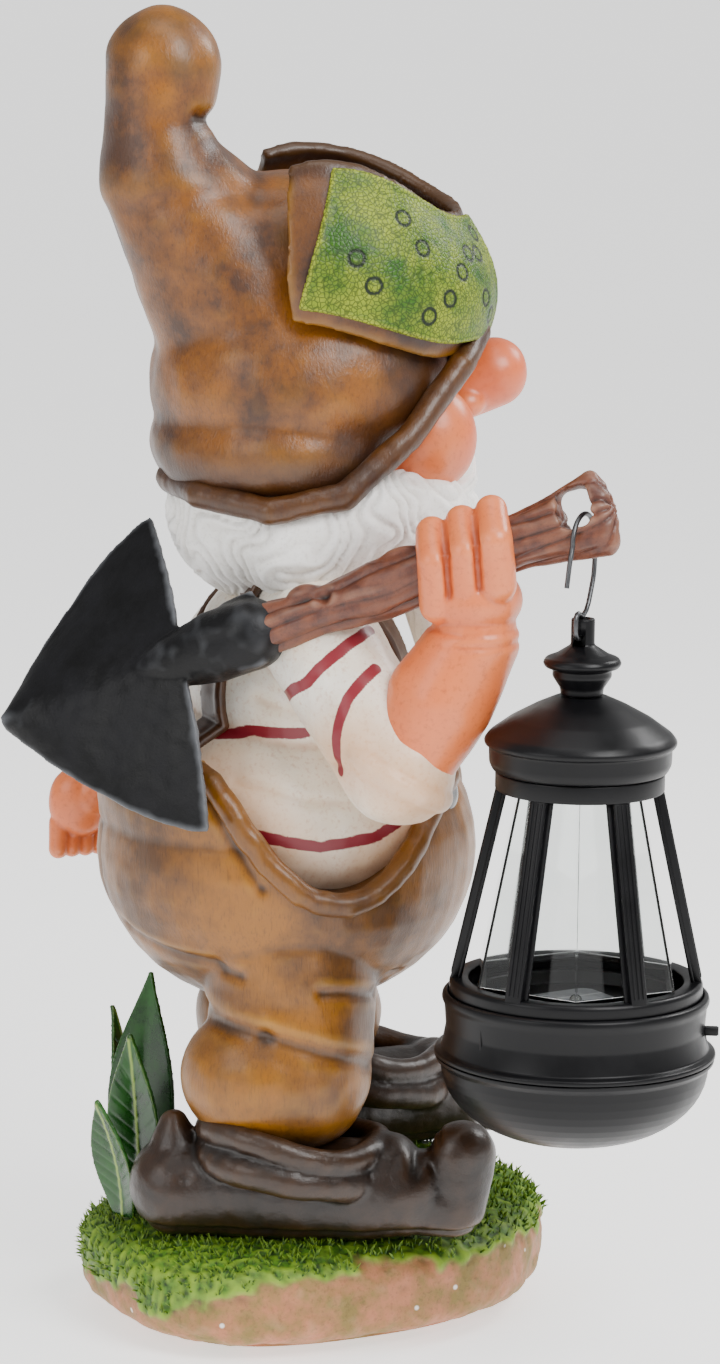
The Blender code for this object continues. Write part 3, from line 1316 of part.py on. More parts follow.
def build_inside(stem):
    """Solar cell, lamp, board, battery and switch under and on the deck."""
    panel = box(
        "solar_cell",
        (PANEL_SIDE, PANEL_SIDE, PANEL_THICKNESS),
        (0, 0, DECK_Z + CLEARANCE + PANEL_THICKNESS / 2),
        "silicon",
        stem,
        turn=PANEL_TURN,
    )
    hole = turned(
        "cell_hole",
        [(0.0, DECK_Z + 0.01), (LED_RADIUS + 0.0012, DECK_Z + 0.01)]
        + [(LED_RADIUS + 0.0012, DECK_Z - 0.01), (0.0, DECK_Z - 0.01)],
        None,
        16,
        stem,
    )
    boolean(panel, hole)
    lamp_base = BOARD_Z + 0.0008 + CLEARANCE
    lamp_top = DECK_Z + PANEL_THICKNESS + 0.0030
    lamp = [
        (0.0, lamp_top),
        (LED_RADIUS * 0.7, lamp_top - LED_RADIUS * 0.3),
        (LED_RADIUS, lamp_top - LED_RADIUS),
        (LED_RADIUS, lamp_base + 0.0010),
        (LED_RADIUS + 0.0004, lamp_base + 0.0010),
        (LED_RADIUS + 0.0004, lamp_base),
        (0.0, lamp_base),
    ]
    turned("led", lamp, "clear_plastic", 16, stem)
    box("circuit_board", (0.034, 0.026, 0.0016), (0, 0, BOARD_Z), "board", stem, turn=PANEL_TURN)
    battery_z = BOARD_Z - 0.0040 - BATTERY_RADIUS
    shell = 0.0016
    holder_size = (BATTERY_LENGTH + 0.0120, BATTERY_RADIUS * 2 + 0.0044, BATTERY_RADIUS * 1.3)
    holder_z = battery_z + BATTERY_RADIUS + 0.0020 - holder_size[2] / 2
    holder = box("battery_holder", holder_size, (0, 0, holder_z), "black_plastic", stem, turn=PANEL_TURN)
    bay = box(
        "battery_bay",
        (holder_size[0] - shell * 2, holder_size[1] - shell * 2, holder_size[2]),
        (0, 0, holder_z - shell),
        None,
        stem,
        turn=PANEL_TURN,
    )
    boolean(holder, bay)
    button = BATTERY_RADIUS * 0.38
    half = BATTERY_LENGTH / 2
    battery = turned(
        "battery",
        [
            (0.0, half),
            (button, half),
            (button, half - 0.0012),
            (BATTERY_RADIUS, half - 0.0014),
            (BATTERY_RADIUS, -half),
            (0.0, -half),
        ],
        "battery_wrap",
        20,
        stem,
    )
    battery.rotation_euler = (0, math.pi / 2, PANEL_TURN)
    battery.location = (0, 0, battery_z)
    reach = holder_size[0] / 2 - shell
    contact_size = (0.0006, BATTERY_RADIUS * 1.5, BATTERY_RADIUS * 1.0)
    contact_z = battery_z + 0.0006
    box(
        "contact_plate",
        contact_size,
        (reach - CLEARANCE - contact_size[0] / 2, 0, contact_z),
        "steel",
        stem,
        turn=PANEL_TURN,
    )
    coil = []
    turns = 3
    per_turn = 8
    start = -reach + CLEARANCE + 0.0006
    end = -half - CLEARANCE - 0.0005
    for step in range(turns * per_turn + 1):
        share = step / (turns * per_turn)
        angle = share * turns * math.tau
        radius = 0.0046 - 0.0016 * share
        coil.append(
            Matrix.Rotation(PANEL_TURN, 3, "Z")
            @ Vector((start + (end - start) * share, radius * math.cos(angle), radius * math.sin(angle)))
            + Vector((0, 0, battery_z))
        )
    wire("battery_spring", coil, 0.00035, "steel", stem, 1)


def build_switch(stem):
    """A slide switch behind the drum's wall, with a ribbed thumb piece that stands out of the slot."""
    wall = HOUSING_RADIUS - SHELL - 0.0012
    box(
        "switch_body",
        (0.0040, 0.0130, 0.0066),
        (wall - 0.0020 - 0.0016, 0, SWITCH_Z),
        "black_plastic",
        stem,
        turn=SWITCH_ANGLE,
    )
    box(
        "switch_slider",
        (0.0068, 0.0050, 0.0036),
        (HOUSING_RADIUS + 0.0002, -SWITCH_TRAVEL / 2, SWITCH_Z),
        "black_plastic",
        stem,
        turn=SWITCH_ANGLE,
        bevel=0.0004,
    )


def build_lantern():
    stem = lantern_empties()
    build_finial(stem)
    build_screw("finial_screw", (0, 0, PEAK_Z - SHELL - CLEARANCE), 0.0095, stem)
    build_roof(stem)
    build_cage(stem)
    build_glazing(stem)
    build_housing(stem)
    for index in range(3):
        angle = SCREW_PHASE + index * math.tau / 3
        place = Vector((math.cos(angle), math.sin(angle), 0)) * SCREW_CIRCLE
        place.z = CAGE_SCREW_SEAT_Z
        build_screw(f"cage_screw_{index + 1}", place, CAGE_SCREW_TIP_Z - CAGE_SCREW_SEAT_Z, stem)
    build_inside(stem)
    build_switch(stem)
    build_bowl(stem)


# ---------------------------------------------------------------- run
SPADE_NORMAL, SPADE_ACROSS = spade_matrix()
GRIP_SEAT = spade_frame(NECK) @ Vector((SPADE_LENGTH, GRIP_HOLE_Y - GRIP_HOLE_WIDTH / 2, 0))
HOOK_MATRIX = Matrix.Translation(GRIP_SEAT) @ Matrix.Rotation(-HOOK_TURN, 4, "Z")
LANTERN_PIVOT = HOOK_MATRIX @ Vector((-HOOK_LOWER_RADIUS, 0, HOOK_DROP + WIRE_RADIUS))


def main():
    cutters = build_figure()
    build_hat_trim(cutters)
    build_braces(cutters)
    build_buttons(cutters)
    build_leaves(cutters)
    build_blade(cutters)
    wire("s_hook", [HOOK_MATRIX @ point for point in hook_points()], WIRE_RADIUS, "steel", None)
    build_lantern()


clear_scene()
PARTS = new_collection("garden_gnome")
CUTTERS = new_collection("cutters")
main()
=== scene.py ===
# %% [markdown]
# # A garden gnome with a spade and a solar lantern
# The real object is a hollow polyresin casting, painted by hand, and a lantern moulded in black plastic that
# hangs on a wire hook. The CAD model gives every piece its place. This script gives each one its surface.
# The body parts are soft, so they are modelled like clay: balls are pressed together, melted into one skin
# and then sculpted. The lantern is turned, so its parts are spun from profiles.

# %% Load the CAD frame
import json
import math
import random

import bmesh
import bpy
import numpy as np
from mathutils import Matrix, Vector, noise
from mathutils.bvhtree import BVHTree


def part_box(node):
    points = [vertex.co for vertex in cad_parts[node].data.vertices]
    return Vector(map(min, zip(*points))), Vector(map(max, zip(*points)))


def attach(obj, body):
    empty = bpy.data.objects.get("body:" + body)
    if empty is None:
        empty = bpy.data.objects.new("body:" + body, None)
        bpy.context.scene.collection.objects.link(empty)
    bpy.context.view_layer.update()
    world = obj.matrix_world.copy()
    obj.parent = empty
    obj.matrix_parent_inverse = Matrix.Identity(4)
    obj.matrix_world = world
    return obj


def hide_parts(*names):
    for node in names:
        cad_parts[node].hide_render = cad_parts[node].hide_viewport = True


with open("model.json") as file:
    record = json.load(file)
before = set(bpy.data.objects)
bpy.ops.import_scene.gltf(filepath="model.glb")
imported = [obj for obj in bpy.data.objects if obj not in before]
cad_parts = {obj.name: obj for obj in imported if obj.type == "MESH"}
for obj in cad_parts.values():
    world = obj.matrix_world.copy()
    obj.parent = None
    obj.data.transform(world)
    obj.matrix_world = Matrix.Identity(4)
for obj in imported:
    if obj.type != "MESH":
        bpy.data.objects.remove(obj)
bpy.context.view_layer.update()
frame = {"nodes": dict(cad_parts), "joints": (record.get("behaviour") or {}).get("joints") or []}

MM = 0.001
JOINTS = {joint["name"]: joint for joint in frame["joints"]}
print("CAD nodes:", len(frame["nodes"]), "joints:", list(JOINTS))

# %% [markdown]
# ## Places
# The ground's top face, the two hinges of the lantern and the bowl's axis come from the CAD frame. The body
# is measured up from the ground in the proportions that its castings have, and the spade is measured back
# from the hook's hinge, which sits in the hole of its grip.

# %% Places on the body
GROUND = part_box("ground_base")[1].z
CALF_Z = GROUND + 0.074
SEAT = Vector((0, 0.007, CALF_Z + 0.096))
SEAT_HALF = Vector((0.082, 0.087, 0.074))
CHEST = Vector((0, 0.002, SEAT.z + 0.077))
CHEST_HALF = Vector((0.060, 0.050, 0.055))
PAUNCH = Vector((0, 0.004, SEAT.z + 0.022))
PAUNCH_HALF = Vector((0.073, 0.076, 0.056))
HEAD = Vector((0, -0.012, CHEST.z + 0.110))
HEAD_HALF = Vector((0.049, 0.050, 0.052))
CROWN_RADIUS = 0.066
TIP_RADIUS = 0.0262
HAT_TIP = Vector((0.004, HEAD.y + 0.073, HEAD.z + 0.1695))
CALF_HALF = Vector((0.037, 0.044, 0.036))
RIGHT_CALF = Vector((-0.0443, 0.012, CALF_Z))
LEFT_CALF = Vector((0.041, -0.022, CALF_Z))
SHOULDER_RIGHT = CHEST + Vector((-0.057, 0, 0.030))
SHOULDER_LEFT = CHEST + Vector((0.057, 0, 0.028))
print("head", HEAD[:], "hat tip", HAT_TIP[:])

# %% Places on the spade and the lantern
SPADE_YAW, SPADE_PITCH, SPADE_ROLL = (math.radians(degrees) for degrees in (23, 21, 18))
SPADE_LENGTH = 0.180
ALONG = Vector(
    (
        -math.sin(SPADE_YAW) * math.cos(SPADE_PITCH),
        -math.cos(SPADE_YAW) * math.cos(SPADE_PITCH),
        math.sin(SPADE_PITCH),
    )
)
LEVEL = Vector((-math.cos(SPADE_YAW), math.sin(SPADE_YAW), 0))
UPRIGHT = ALONG.cross(LEVEL).normalized()
UPRIGHT *= 1 if UPRIGHT.z > 0 else -1
FACE = (LEVEL * math.cos(SPADE_ROLL) + UPRIGHT * math.sin(SPADE_ROLL)).normalized()
ACROSS = FACE.cross(ALONG).normalized()
ACROSS *= 1 if ACROSS.z > 0 else -1
HOOK_PIVOT = Vector(JOINTS["hook_swing"]["pos_m"])
GRIP_SEAT = HOOK_PIVOT - Vector((0, 0, 0.0059))
GRIP_HOLE_Y = 0.0050
NECK = GRIP_SEAT - ALONG * SPADE_LENGTH + ACROSS * 0.0045
HAND = NECK + ALONG * (SPADE_LENGTH * 0.725)
ELBOW_RIGHT = Vector((HAND.x + 0.005, HAND.y + 0.033, PAUNCH.z + 0.034))
ELBOW_LEFT = Vector((0.096, 0.036, PAUNCH.z + 0.024))
HAND_LEFT = Vector((0.095, 0.087, SEAT.z + 0.004))

LANTERN_UP = Vector(JOINTS["bowl_twist"]["axis"]).normalized()
HANG_BAR = Vector(JOINTS["lantern_swing"]["pos_m"])
HANG_AXIS = Vector(JOINTS["lantern_swing"]["axis"]).normalized()
BOWL_DEPTH = 0.039
LANTERN = Matrix((HANG_AXIS.cross(LANTERN_UP), HANG_AXIS, LANTERN_UP)).transposed().to_4x4()
LANTERN.translation = Vector(JOINTS["bowl_twist"]["pos_m"]) - LANTERN_UP * BOWL_DEPTH


def spade_frame(twist=0.0):
    """The spade's own axes: x along the handle, y across it and up, z out of its face."""
    matrix = Matrix((ALONG, ACROSS, FACE)).transposed().to_4x4() @ Matrix.Rotation(twist, 4, "X")
    matrix.translation = NECK
    return matrix


print("neck of the spade", NECK[:], "bowl", LANTERN.translation[:])

# %% [markdown]
# ## Camera, floor and light
# The camera stands level with the gnome's right shoulder and looks slightly down, from far enough away that
# the lens is long and the shape is hardly foreshortened. A large soft key light from the front, a fill and a
# strip from behind give the varnished paint the long highlights that show its form.

# %% Camera
CAMERA_TURN, CAMERA_RISE = math.radians(260), math.radians(11.5)
BACK = Vector(
    (
        math.sin(CAMERA_TURN) * math.cos(CAMERA_RISE),
        -math.cos(CAMERA_TURN) * math.cos(CAMERA_RISE),
        math.sin(CAMERA_RISE),
    )
)
camera = bpy.data.objects.new("camera", bpy.data.cameras.new("camera"))
bpy.context.scene.collection.objects.link(camera)
camera.data.sensor_width = 36
camera.data.lens = 135.8
camera.location = (-2.2643, 0.3723, 0.7601)
camera.rotation_euler = BACK.to_track_quat("Z", "Y").to_euler()
bpy.context.scene.camera = camera
print("camera lens", camera.data.lens)


# %% Colour and node helpers
def colour(hex_value):
    """An sRGB hex colour as linear RGBA."""
    channels = [int(hex_value[i : i + 2], 16) / 255 for i in (1, 3, 5)]
    return (*[c / 12.92 if c <= 0.04045 else ((c + 0.055) / 1.055) ** 2.4 for c in channels], 1)


def add(tree, kind, inputs=None, **settings):
    """Adds one node. Settings are its properties, and inputs are values or sockets by name or number."""
    made = tree.nodes.new("ShaderNode" + kind)
    for name, value in settings.items():
        setattr(made, name, value)
    for name, value in (inputs or {}).items():
        if isinstance(value, bpy.types.NodeSocket):
            tree.links.new(value, made.inputs[name])
        else:
            made.inputs[name].default_value = value
    return made


def new_material(name, **values):
    """A material with a Principled shader, whose uniform values are set on its own sockets."""
    made = bpy.data.materials.new(name)
    made.use_nodes = True
    shader = made.node_tree.nodes["Principled BSDF"]
    for socket, value in values.items():
        shader.inputs[socket.replace("_", " ")].default_value = value
    return made, made.node_tree, shader


# %% Floor and lights
floor_material, tree, shader = new_material("matt_white_card", Roughness=0.6, Emission_Strength=1.1)
shader.inputs["Emission Color"].default_value = colour("#ffffff")
speck = add(tree, "TexNoise", {"Vector": add(tree, "TexCoord").outputs["Object"], "Scale": 3.0})
tint = add(tree, "Mix", {0: speck.outputs[0], 6: colour("#f6f6f5"), 7: colour("#efeeec")}, data_type="RGBA")
tree.links.new(tint.outputs[2], shader.inputs["Base Color"])
bm = bmesh.new()
bmesh.ops.create_grid(bm, x_segments=2, y_segments=2, size=30.0)
floor_mesh = bpy.data.meshes.new("floor")
bm.to_mesh(floor_mesh)
bm.free()
floor_mesh.materials.append(floor_material)
floor = bpy.data.objects.new("floor", floor_mesh)
bpy.context.scene.collection.objects.link(floor)

world = bpy.data.worlds.new("studio")
bpy.context.scene.world = world
world.use_nodes = True
world.node_tree.nodes["Background"].inputs["Color"].default_value = colour("#ffffff")
world.node_tree.nodes["Background"].inputs["Strength"].default_value = 0.5


def area_light(name, turn, rise, distance, size, power):
    """A soft box that looks at the chest from a turn and a rise in degrees."""
    light = bpy.data.lights.new(name, "AREA")
    light.size = size
    light.energy = power
    lamp = bpy.data.objects.new(name, light)
    bpy.context.scene.collection.objects.link(lamp)
    turn, rise = math.radians(turn), math.radians(rise)
    away = Vector((math.sin(turn) * math.cos(rise), -math.cos(turn) * math.cos(rise), math.sin(rise)))
    lamp.location = CHEST + away * distance
    lamp.rotation_euler = away.to_track_quat("Z", "Y").to_euler()


area_light("key_softbox", 300, 42, 1.6, 0.8, 25)
area_light("fill_softbox", 215, 25, 1.8, 1.0, 10)
area_light("rim_strip", 20, 35, 1.5, 0.5, 10)
area_light("top_softbox", 250, 80, 1.5, 0.9, 6)

# %% [markdown]
# ## Clay tools
# A dab is a ball that is stretched, turned and moved. A stroke is a row of dabs that overlap. The Remesh
# modifier in voxel mode wraps all of them in one closed skin, and Smooth melts the joins. It works at any
# density, which is why the same few lines make a hat, a hand or a shoe.


# %% Clay tools
def dab(clay, centre, half, turn=None):
    half = Vector(half) if hasattr(half, "__len__") else Vector((half,) * 3)
    clay.append(Matrix.Translation(centre) @ (turn or Matrix()) @ Matrix.Diagonal((*half, 1)))


def stroke(clay, points):
    for (start, start_radius), (end, end_radius) in zip(points, points[1:]):
        start, end = Vector(start), Vector(end)
        count = max(2, math.ceil((end - start).length / (0.25 * min(start_radius, end_radius))))
        for index in range(count + 1):
            share = index / count
            dab(clay, start.lerp(end, share), start_radius + (end_radius - start_radius) * share)


def mesh_of(bm, name):
    mesh = bpy.data.meshes.new(name)
    bm.to_mesh(mesh)
    bm.free()
    return mesh


def evaluated(mesh, name, modifiers):
    """A copy of a mesh with a few modifiers applied, each given as a kind and its settings."""
    carrier = bpy.data.objects.new(name, mesh)
    bpy.context.scene.collection.objects.link(carrier)
    for kind, settings in modifiers:
        modifier = carrier.modifiers.new(kind.title(), kind)
        for key, value in settings.items():
            setattr(modifier, key, value)
    graph = bpy.context.evaluated_depsgraph_get()
    made = bpy.data.meshes.new_from_object(carrier.evaluated_get(graph))
    bpy.data.objects.remove(carrier, do_unlink=True)
    made.name = name
    return made


def fused(name, clay, voxel, smoothing=8):
    """Melts all the dabs into one skin."""
    bm = bmesh.new()
    bmesh.ops.create_uvsphere(bm, u_segments=40, v_segments=20, radius=1)
    ball = mesh_of(bm, "ball")
    bm = bmesh.new()
    for matrix in clay:
        copy = ball.copy()
        copy.transform(matrix)
        bm.from_mesh(copy)
        bpy.data.meshes.remove(copy)
    return remelted(mesh_of(bm, name), voxel, smoothing)


def remelted(mesh, voxel, smoothing=4):
    return evaluated(
        mesh,
        mesh.name,
        [
            ("REMESH", {"mode": "VOXEL", "voxel_size": voxel}),
            ("SMOOTH", {"factor": 0.5, "iterations": smoothing}),
        ],
    )


# %% [markdown]
# ## Sculpting tools
# Each tool works on all the points of a skin at once. `press` moves them along their normals, `near` tells
# how far each one is from a line of points, and `noise_at` gives every point a soft random height. The
# attribute `hollow` stores how deep a point lies below the smoothed skin, because the painter's dark wash
# stays in the hollows and wears off the ridges. The paint also uses it for painted shade in the hollows and a
# painted highlight on the ridges.


# %% Sculpting tools
def coordinates(mesh):
    flat = np.empty(len(mesh.vertices) * 3, np.float32)
    mesh.vertices.foreach_get("co", flat)
    return flat.reshape(-1, 3).astype(float)


def normals(mesh):
    flat = np.empty(len(mesh.vertices) * 3, np.float32)
    mesh.vertex_normals.foreach_get("vector", flat)
    return flat.reshape(-1, 3).astype(float)


def place(mesh, points):
    mesh.vertices.foreach_set("co", points.astype(np.float32).ravel())
    mesh.update()


def press(mesh, heights):
    """Moves every point out along its normal by its own height."""
    place(mesh, coordinates(mesh) + normals(mesh) * np.asarray(heights)[:, None])


def noise_at(points, size, seed=0.0, stretch=(1, 1, 1)):
    """Soft noise from -1 to 1 with lumps of about this size."""
    scaled = points / size * np.array(stretch) + seed * 17.3
    return np.array([noise.noise(p) for p in scaled.tolist()])


def near(points, line):
    """Each point's distance from a line of points."""
    best = np.full(len(points), 1e9)
    line = [np.array(p, float) for p in line]
    for start, end in zip(line, line[1:] or line):
        span = end - start
        share = np.clip((points - start) @ span / max(span @ span, 1e-12), 0, 1)
        gap = np.linalg.norm(points - start - share[:, None] * span, axis=1)
        best = np.minimum(best, gap)
    return best


def skin_tree(mesh):
    bm = bmesh.new()
    bm.from_mesh(mesh)
    tree = BVHTree.FromBMesh(bm)
    bm.free()
    return tree


def onto(mesh, line, spacing=0.002):
    """A line of points, made closer and dropped onto the nearest places of a skin."""
    tree = skin_tree(mesh)
    dense = []
    for start, end in zip(line, line[1:]):
        start, end = Vector(start), Vector(end)
        count = max(1, math.ceil((end - start).length / spacing))
        dense += [tree.find_nearest(start.lerp(end, index / count))[0] for index in range(count + 1)]
    return dense


def groove(points, line, width, depth):
    """Heights of a soft groove along a line; a negative depth makes a ridge."""
    return -depth * np.exp(-((near(points, line) / width) ** 2))


def step(low, high, values):
    share = np.clip((values - low) / (high - low), 0, 1)
    return share * share * (3 - 2 * share)


def smoothed(mesh, values, rounds):
    """Values that are averaged with their neighbours' a few times."""
    ends = np.empty(len(mesh.edges) * 2, np.int32)
    mesh.edges.foreach_get("vertices", ends)
    first, second = ends.reshape(-1, 2).T
    count = len(mesh.vertices)
    degree = np.bincount(first, minlength=count) + np.bincount(second, minlength=count)
    for _ in range(rounds):
        columns = []
        for column in values.T:
            total = np.bincount(first, column[second], count) + np.bincount(second, column[first], count)
            columns.append((column + total / np.maximum(degree, 1)) / 2)
        values = np.stack(columns, 1)
    return values


def store(mesh, name, values):
    """Keeps one number for each point, for a material to read."""
    attribute = mesh.attributes.new(name, "FLOAT", "POINT")
    attribute.data.foreach_set("value", np.asarray(values, np.float32))


def mark_hollows(mesh, rounds=14):
    """Stores how far each point lies below the smoothed skin, in millimetres."""
    points = coordinates(mesh)
    sunk = ((smoothed(mesh, points, rounds) - points) * normals(mesh)).sum(1) / MM
    store(mesh, "hollow", smoothed(mesh, sunk[:, None], 2)[:, 0])


def piece(name, mesh, material, stands_for=(), body="root"):
    """Makes a finished mesh a piece of the object that rides on a body and stands for CAD nodes."""
    mesh.materials.clear()
    mesh.materials.append(material)
    mesh.shade_smooth()
    made = bpy.data.objects.new(name, mesh)
    bpy.context.scene.collection.objects.link(made)
    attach(made, body)
    if stands_for:
        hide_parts(*stands_for)
    print(f"{name}: {len(mesh.polygons)} faces")
    return made


# %% [markdown]
# ## Paint
# The casting is polyresin, a polyester resin filled with stone powder. It is primed, sprayed in a base
# colour, patted with a second colour, washed with thinned dark paint that stays in the hollows, and given a
# satin varnish. Here the dark in the hollows is both that wash and painted shade, and the light colour on the
# ridges is both dry-brushing and a painted highlight. One function builds that recipe, because every painted
# casting has it, and each finish below gives its own colours and grain.


# %% Painted resin
def painted_resin(
    name, base, second, wash_and_shade_colour, light, patch_mm=18, grain_mm=1.6, wash_and_shade_strength=0.8, rough=(0.34, 0.5),
    bump_mm=0.12, coat=0.25, hatch=1.0,
):
    """Base coat, patted second colour, a dark wash in the hollows that is also painted shade, and a light
    colour on the ridges that is dry-brushing and a painted highlight.
    """
    made, tree, shader = new_material(name, Coat_Weight=coat, Coat_Roughness=0.22)
    spot = add(tree, "TexCoord").outputs["Object"]
    hollow = add(tree, "Attribute", attribute_name="hollow").outputs["Fac"]
    patches = add(
        tree, "TexNoise", {"Vector": spot, "Scale": 1000 / patch_mm, "Detail": 6.0, "Roughness": 0.62},
    )
    drawn = add(tree, "Mapping", {"Vector": spot, "Scale": (1, 1, hatch)})
    grain = add(
        tree, "TexNoise",
        {"Vector": drawn.outputs[0], "Scale": 1000 / grain_mm, "Detail": 4.0, "Roughness": 0.6},
    )
    pats = add(tree, "MapRange", {"Value": patches.outputs[0], "From Min": 0.38, "From Max": 0.62})
    two = add(tree, "Mix", {0: pats.outputs[0], 6: colour(base), 7: colour(second)}, data_type="RGBA")
    specks = add(
        tree, "MapRange", {"Value": grain.outputs[0], "From Min": 0.52, "From Max": 0.75, "To Max": 0.45},
    )
    speckled = add(tree, "Mix", {0: specks.outputs[0], 6: two.outputs[2], 7: colour(wash_and_shade_colour)}, data_type="RGBA")
    # Darker in the hollows: the painted wash and painted shade.
    hollow_wash_and_shade = add(
        tree, "MapRange", {"Value": hollow, "From Min": 0.02, "From Max": 0.55, "To Max": wash_and_shade_strength},
    )
    washed_and_shaded = add(
        tree, "Mix", {0: hollow_wash_and_shade.outputs[0], 6: speckled.outputs[2], 7: colour(wash_and_shade_colour)}, data_type="RGBA",
    )
    # Lighter on the ridges: dry-brushing and a painted highlight.
    ridge_brush_and_highlight = add(tree, "MapRange", {"Value": hollow, "From Min": -0.10, "From Max": -0.70, "To Max": 0.5})
    brushed_and_highlighted = add(tree, "Mix", {0: ridge_brush_and_highlight.outputs[0], 6: washed_and_shaded.outputs[2], 7: colour(light)}, data_type="RGBA")
    tree.links.new(brushed_and_highlighted.outputs[2], shader.inputs["Base Color"])
    satin = add(
        tree, "MapRange", {
            "Value": patches.outputs[0], "From Min": 0.3, "From Max": 0.7, "To Min": rough[0],
            "To Max": rough[1],
        }
    )
    tree.links.new(satin.outputs[0], shader.inputs["Roughness"])
    relief = add(tree, "Bump", {"Height": grain.outputs[0], "Strength": 0.5, "Distance": bump_mm * MM})
    tree.links.new(relief.outputs[0], shader.inputs["Normal"])
    return made, tree, shader


def paint_over(tree, shader, attribute, hex_value, low=0.35, high=0.65):
    """Lays one more colour where an attribute is high."""
    under = shader.inputs["Base Color"].links[0].from_socket
    mask = add(tree, "MapRange", {"Value": add(tree, "Attribute", attribute_name=attribute).outputs["Fac"],
                                  "From Min": low, "From Max": high})
    over = add(tree, "Mix", {0: mask.outputs[0], 6: under, 7: colour(hex_value)}, data_type="RGBA")
    tree.links.new(over.outputs[2], shader.inputs["Base Color"])
    return mask


# %% Finishes of the figure
# All of these are painted polyresin with a satin varnish. The fine specks of sprayed paint are about 0.3 mm,
# too small to show, so every grain here is drawn at 1 mm or more.
# Felt hat: sprayed ochre, patted with umber and washed dark, the dark in its hollows also painted shade. Warm
# cloudy patches with a broken satin shine.
hat_paint, tree, shader = painted_resin(
    "hat_ochre_over_umber", "#824b04", "#40220a", "#170b05", "#b57f1c", patch_mm=34, grain_mm=1.3,
    bump_mm=0.5,
    rough=(0.30, 0.46), coat=0.10, hatch=0.5,
)
paint_over(tree, shader, "rim", "#2a150b", 0.0, 1.25)
# Trousers: the same ochre with less umber, its grain drawn out upright like the rub of cloth. Just under
# the waistband they are painted a darker brown as shade under its roll.
trouser_paint, tree, shader = painted_resin(
    "trousers_ochre_wash_and_shade", "#8c5606", "#53310b", "#1c0e05", "#bb8620", patch_mm=48, grain_mm=1.0,
    bump_mm=0.35,
    rough=(0.30, 0.46), coat=0.10, hatch=0.16,
)
paint_over(tree, shader, "rim", "#331a0c", 0.0, 1.35)
# Shirt: cream spray with crimson stripes brushed on by hand, and an orange airbrushed at the waist that is
# painted shade next to the waistband and the rolled sleeve ends. It looks soft and chalky, with thin warm
# lines in the folds that are the wash and painted shade.
cream_paint, tree, shader = painted_resin(
    "shirt_cream_with_stripes", "#f3ecdf", "#ecdcc4", "#b8763c", "#fffdf8", patch_mm=40, grain_mm=2.2,
    wash_and_shade_strength=0.6, bump_mm=0.05, rough=(0.36, 0.5), coat=0.2,
)
paint_over(tree, shader, "shade", "#d99a62", 0.0, 1.5)
paint_over(tree, shader, "stripe", "#7d0c1e")
# Skin: opaque orange-pink acrylic with a darker airbrushed blush on the nose and cheeks, so it looks smooth
# and a little waxy. On the right hand the same darker colour is painted shade next to the handle it grips.
skin_paint, tree, shader = painted_resin(
    "skin_warm_satin", "#e07640", "#d96b35", "#a5431c", "#f09a68", patch_mm=30, grain_mm=2.5,
    wash_and_shade_strength=0.85,
    bump_mm=0.03, rough=(0.34, 0.44), coat=0.2,
)
paint_over(tree, shader, "blush_and_shade", "#cf5226", 0.0, 1.6)
# Hair: off-white acrylic over carved locks. The grey in the grooves, both a wash and painted shade, is what
# makes the locks readable.
hair_paint, tree, shader = painted_resin(
    "hair_off_white", "#f5f3ef", "#efece6", "#b3aaa2", "#ffffff", patch_mm=20, grain_mm=1.8,
    wash_and_shade_strength=0.55,
    bump_mm=0.05, rough=(0.4, 0.55), coat=0.1,
)
# Shoes: near-black brown acrylic under varnish, like polished leather: dark, with small sharp highlights.
shoe_paint, tree, shader = painted_resin(
    "shoes_dark_leather_brown", "#29180b", "#1a0f07", "#080402", "#5f3f22", patch_mm=22, grain_mm=1.0,
    bump_mm=0.3,
    rough=(0.28, 0.44), coat=0.08,
)
# Straps: umber acrylic on a leather-like band, paler along the raised edges with dry-brushing and a painted
# highlight.
strap_paint, tree, shader = painted_resin(
    "straps_umber", "#4a2d19", "#3a2213", "#170d08", "#7c5430", patch_mm=9, grain_mm=0.9, rough=(0.3, 0.42)
)
# Spade: black acrylic with silver on its ridges, both dry-brushed and a painted highlight, so that resin
# passes for forged iron.
iron_paint, tree, shader = painted_resin(
    "spade_iron_black", "#070708", "#0f0f12", "#020203", "#85888d", patch_mm=20, grain_mm=1.6, bump_mm=0.35,
    rough=(0.32, 0.48), coat=0.0,
)
shader.inputs["Specular IOR Level"].default_value = 0.22
# Handle: red-brown acrylic with a nearly black wash in the carved bark that is also painted shade, matt enough
# that the grooves show.
bark_paint, tree, shader = painted_resin(
    "handle_bark_brown", "#4a2012", "#6e3a22", "#120704", "#b48b73", patch_mm=9, grain_mm=0.8, bump_mm=0.2,
    wash_and_shade_strength=0.95, rough=(0.4, 0.55), coat=0.15,
)
print("finishes:", len(bpy.data.materials))

# %% [markdown]
# ## Trousers and waistband
# The trousers are the largest casting: a fat seat over two short calves. After the skin is melted, its top is
# pressed down to the line of the waist, which dips at the hips. Creases are pressed in along lines where the
# cloth would bunch, under the seat and above each calf. The waistband is a thick soft roll, so a ray finds
# where the waist line meets the skin in every direction, and a stroke follows it.


# %% Trousers
def waist_height(y):
    return SEAT.z + np.minimum(-0.007 + 18.0 * (y + 0.005) ** 2, 0.050)


clay = []
dab(clay, SEAT, SEAT_HALF)
dab(clay, SEAT + Vector((0, 0.004, 0.026)), (0.0804, 0.0827, 0.052))
for calf, side in ((RIGHT_CALF, -1), (LEFT_CALF + Vector((0, 0.015, 0.006)), 1)):
    hip = SEAT + Vector((side * 0.036, calf.y * 0.4, -0.040))
    stroke(clay, [(hip, 0.040), (calf, 0.036)])
    dab(clay, calf + Vector((0, 0.007, 0)), CALF_HALF)
dab(clay, SEAT + Vector((0.018, -0.0748, 0.022)), (0.018, 0.010, 0.018))
trousers = fused("trouser_casting", clay, 1.5 * MM)
outer_skin = trousers.copy()

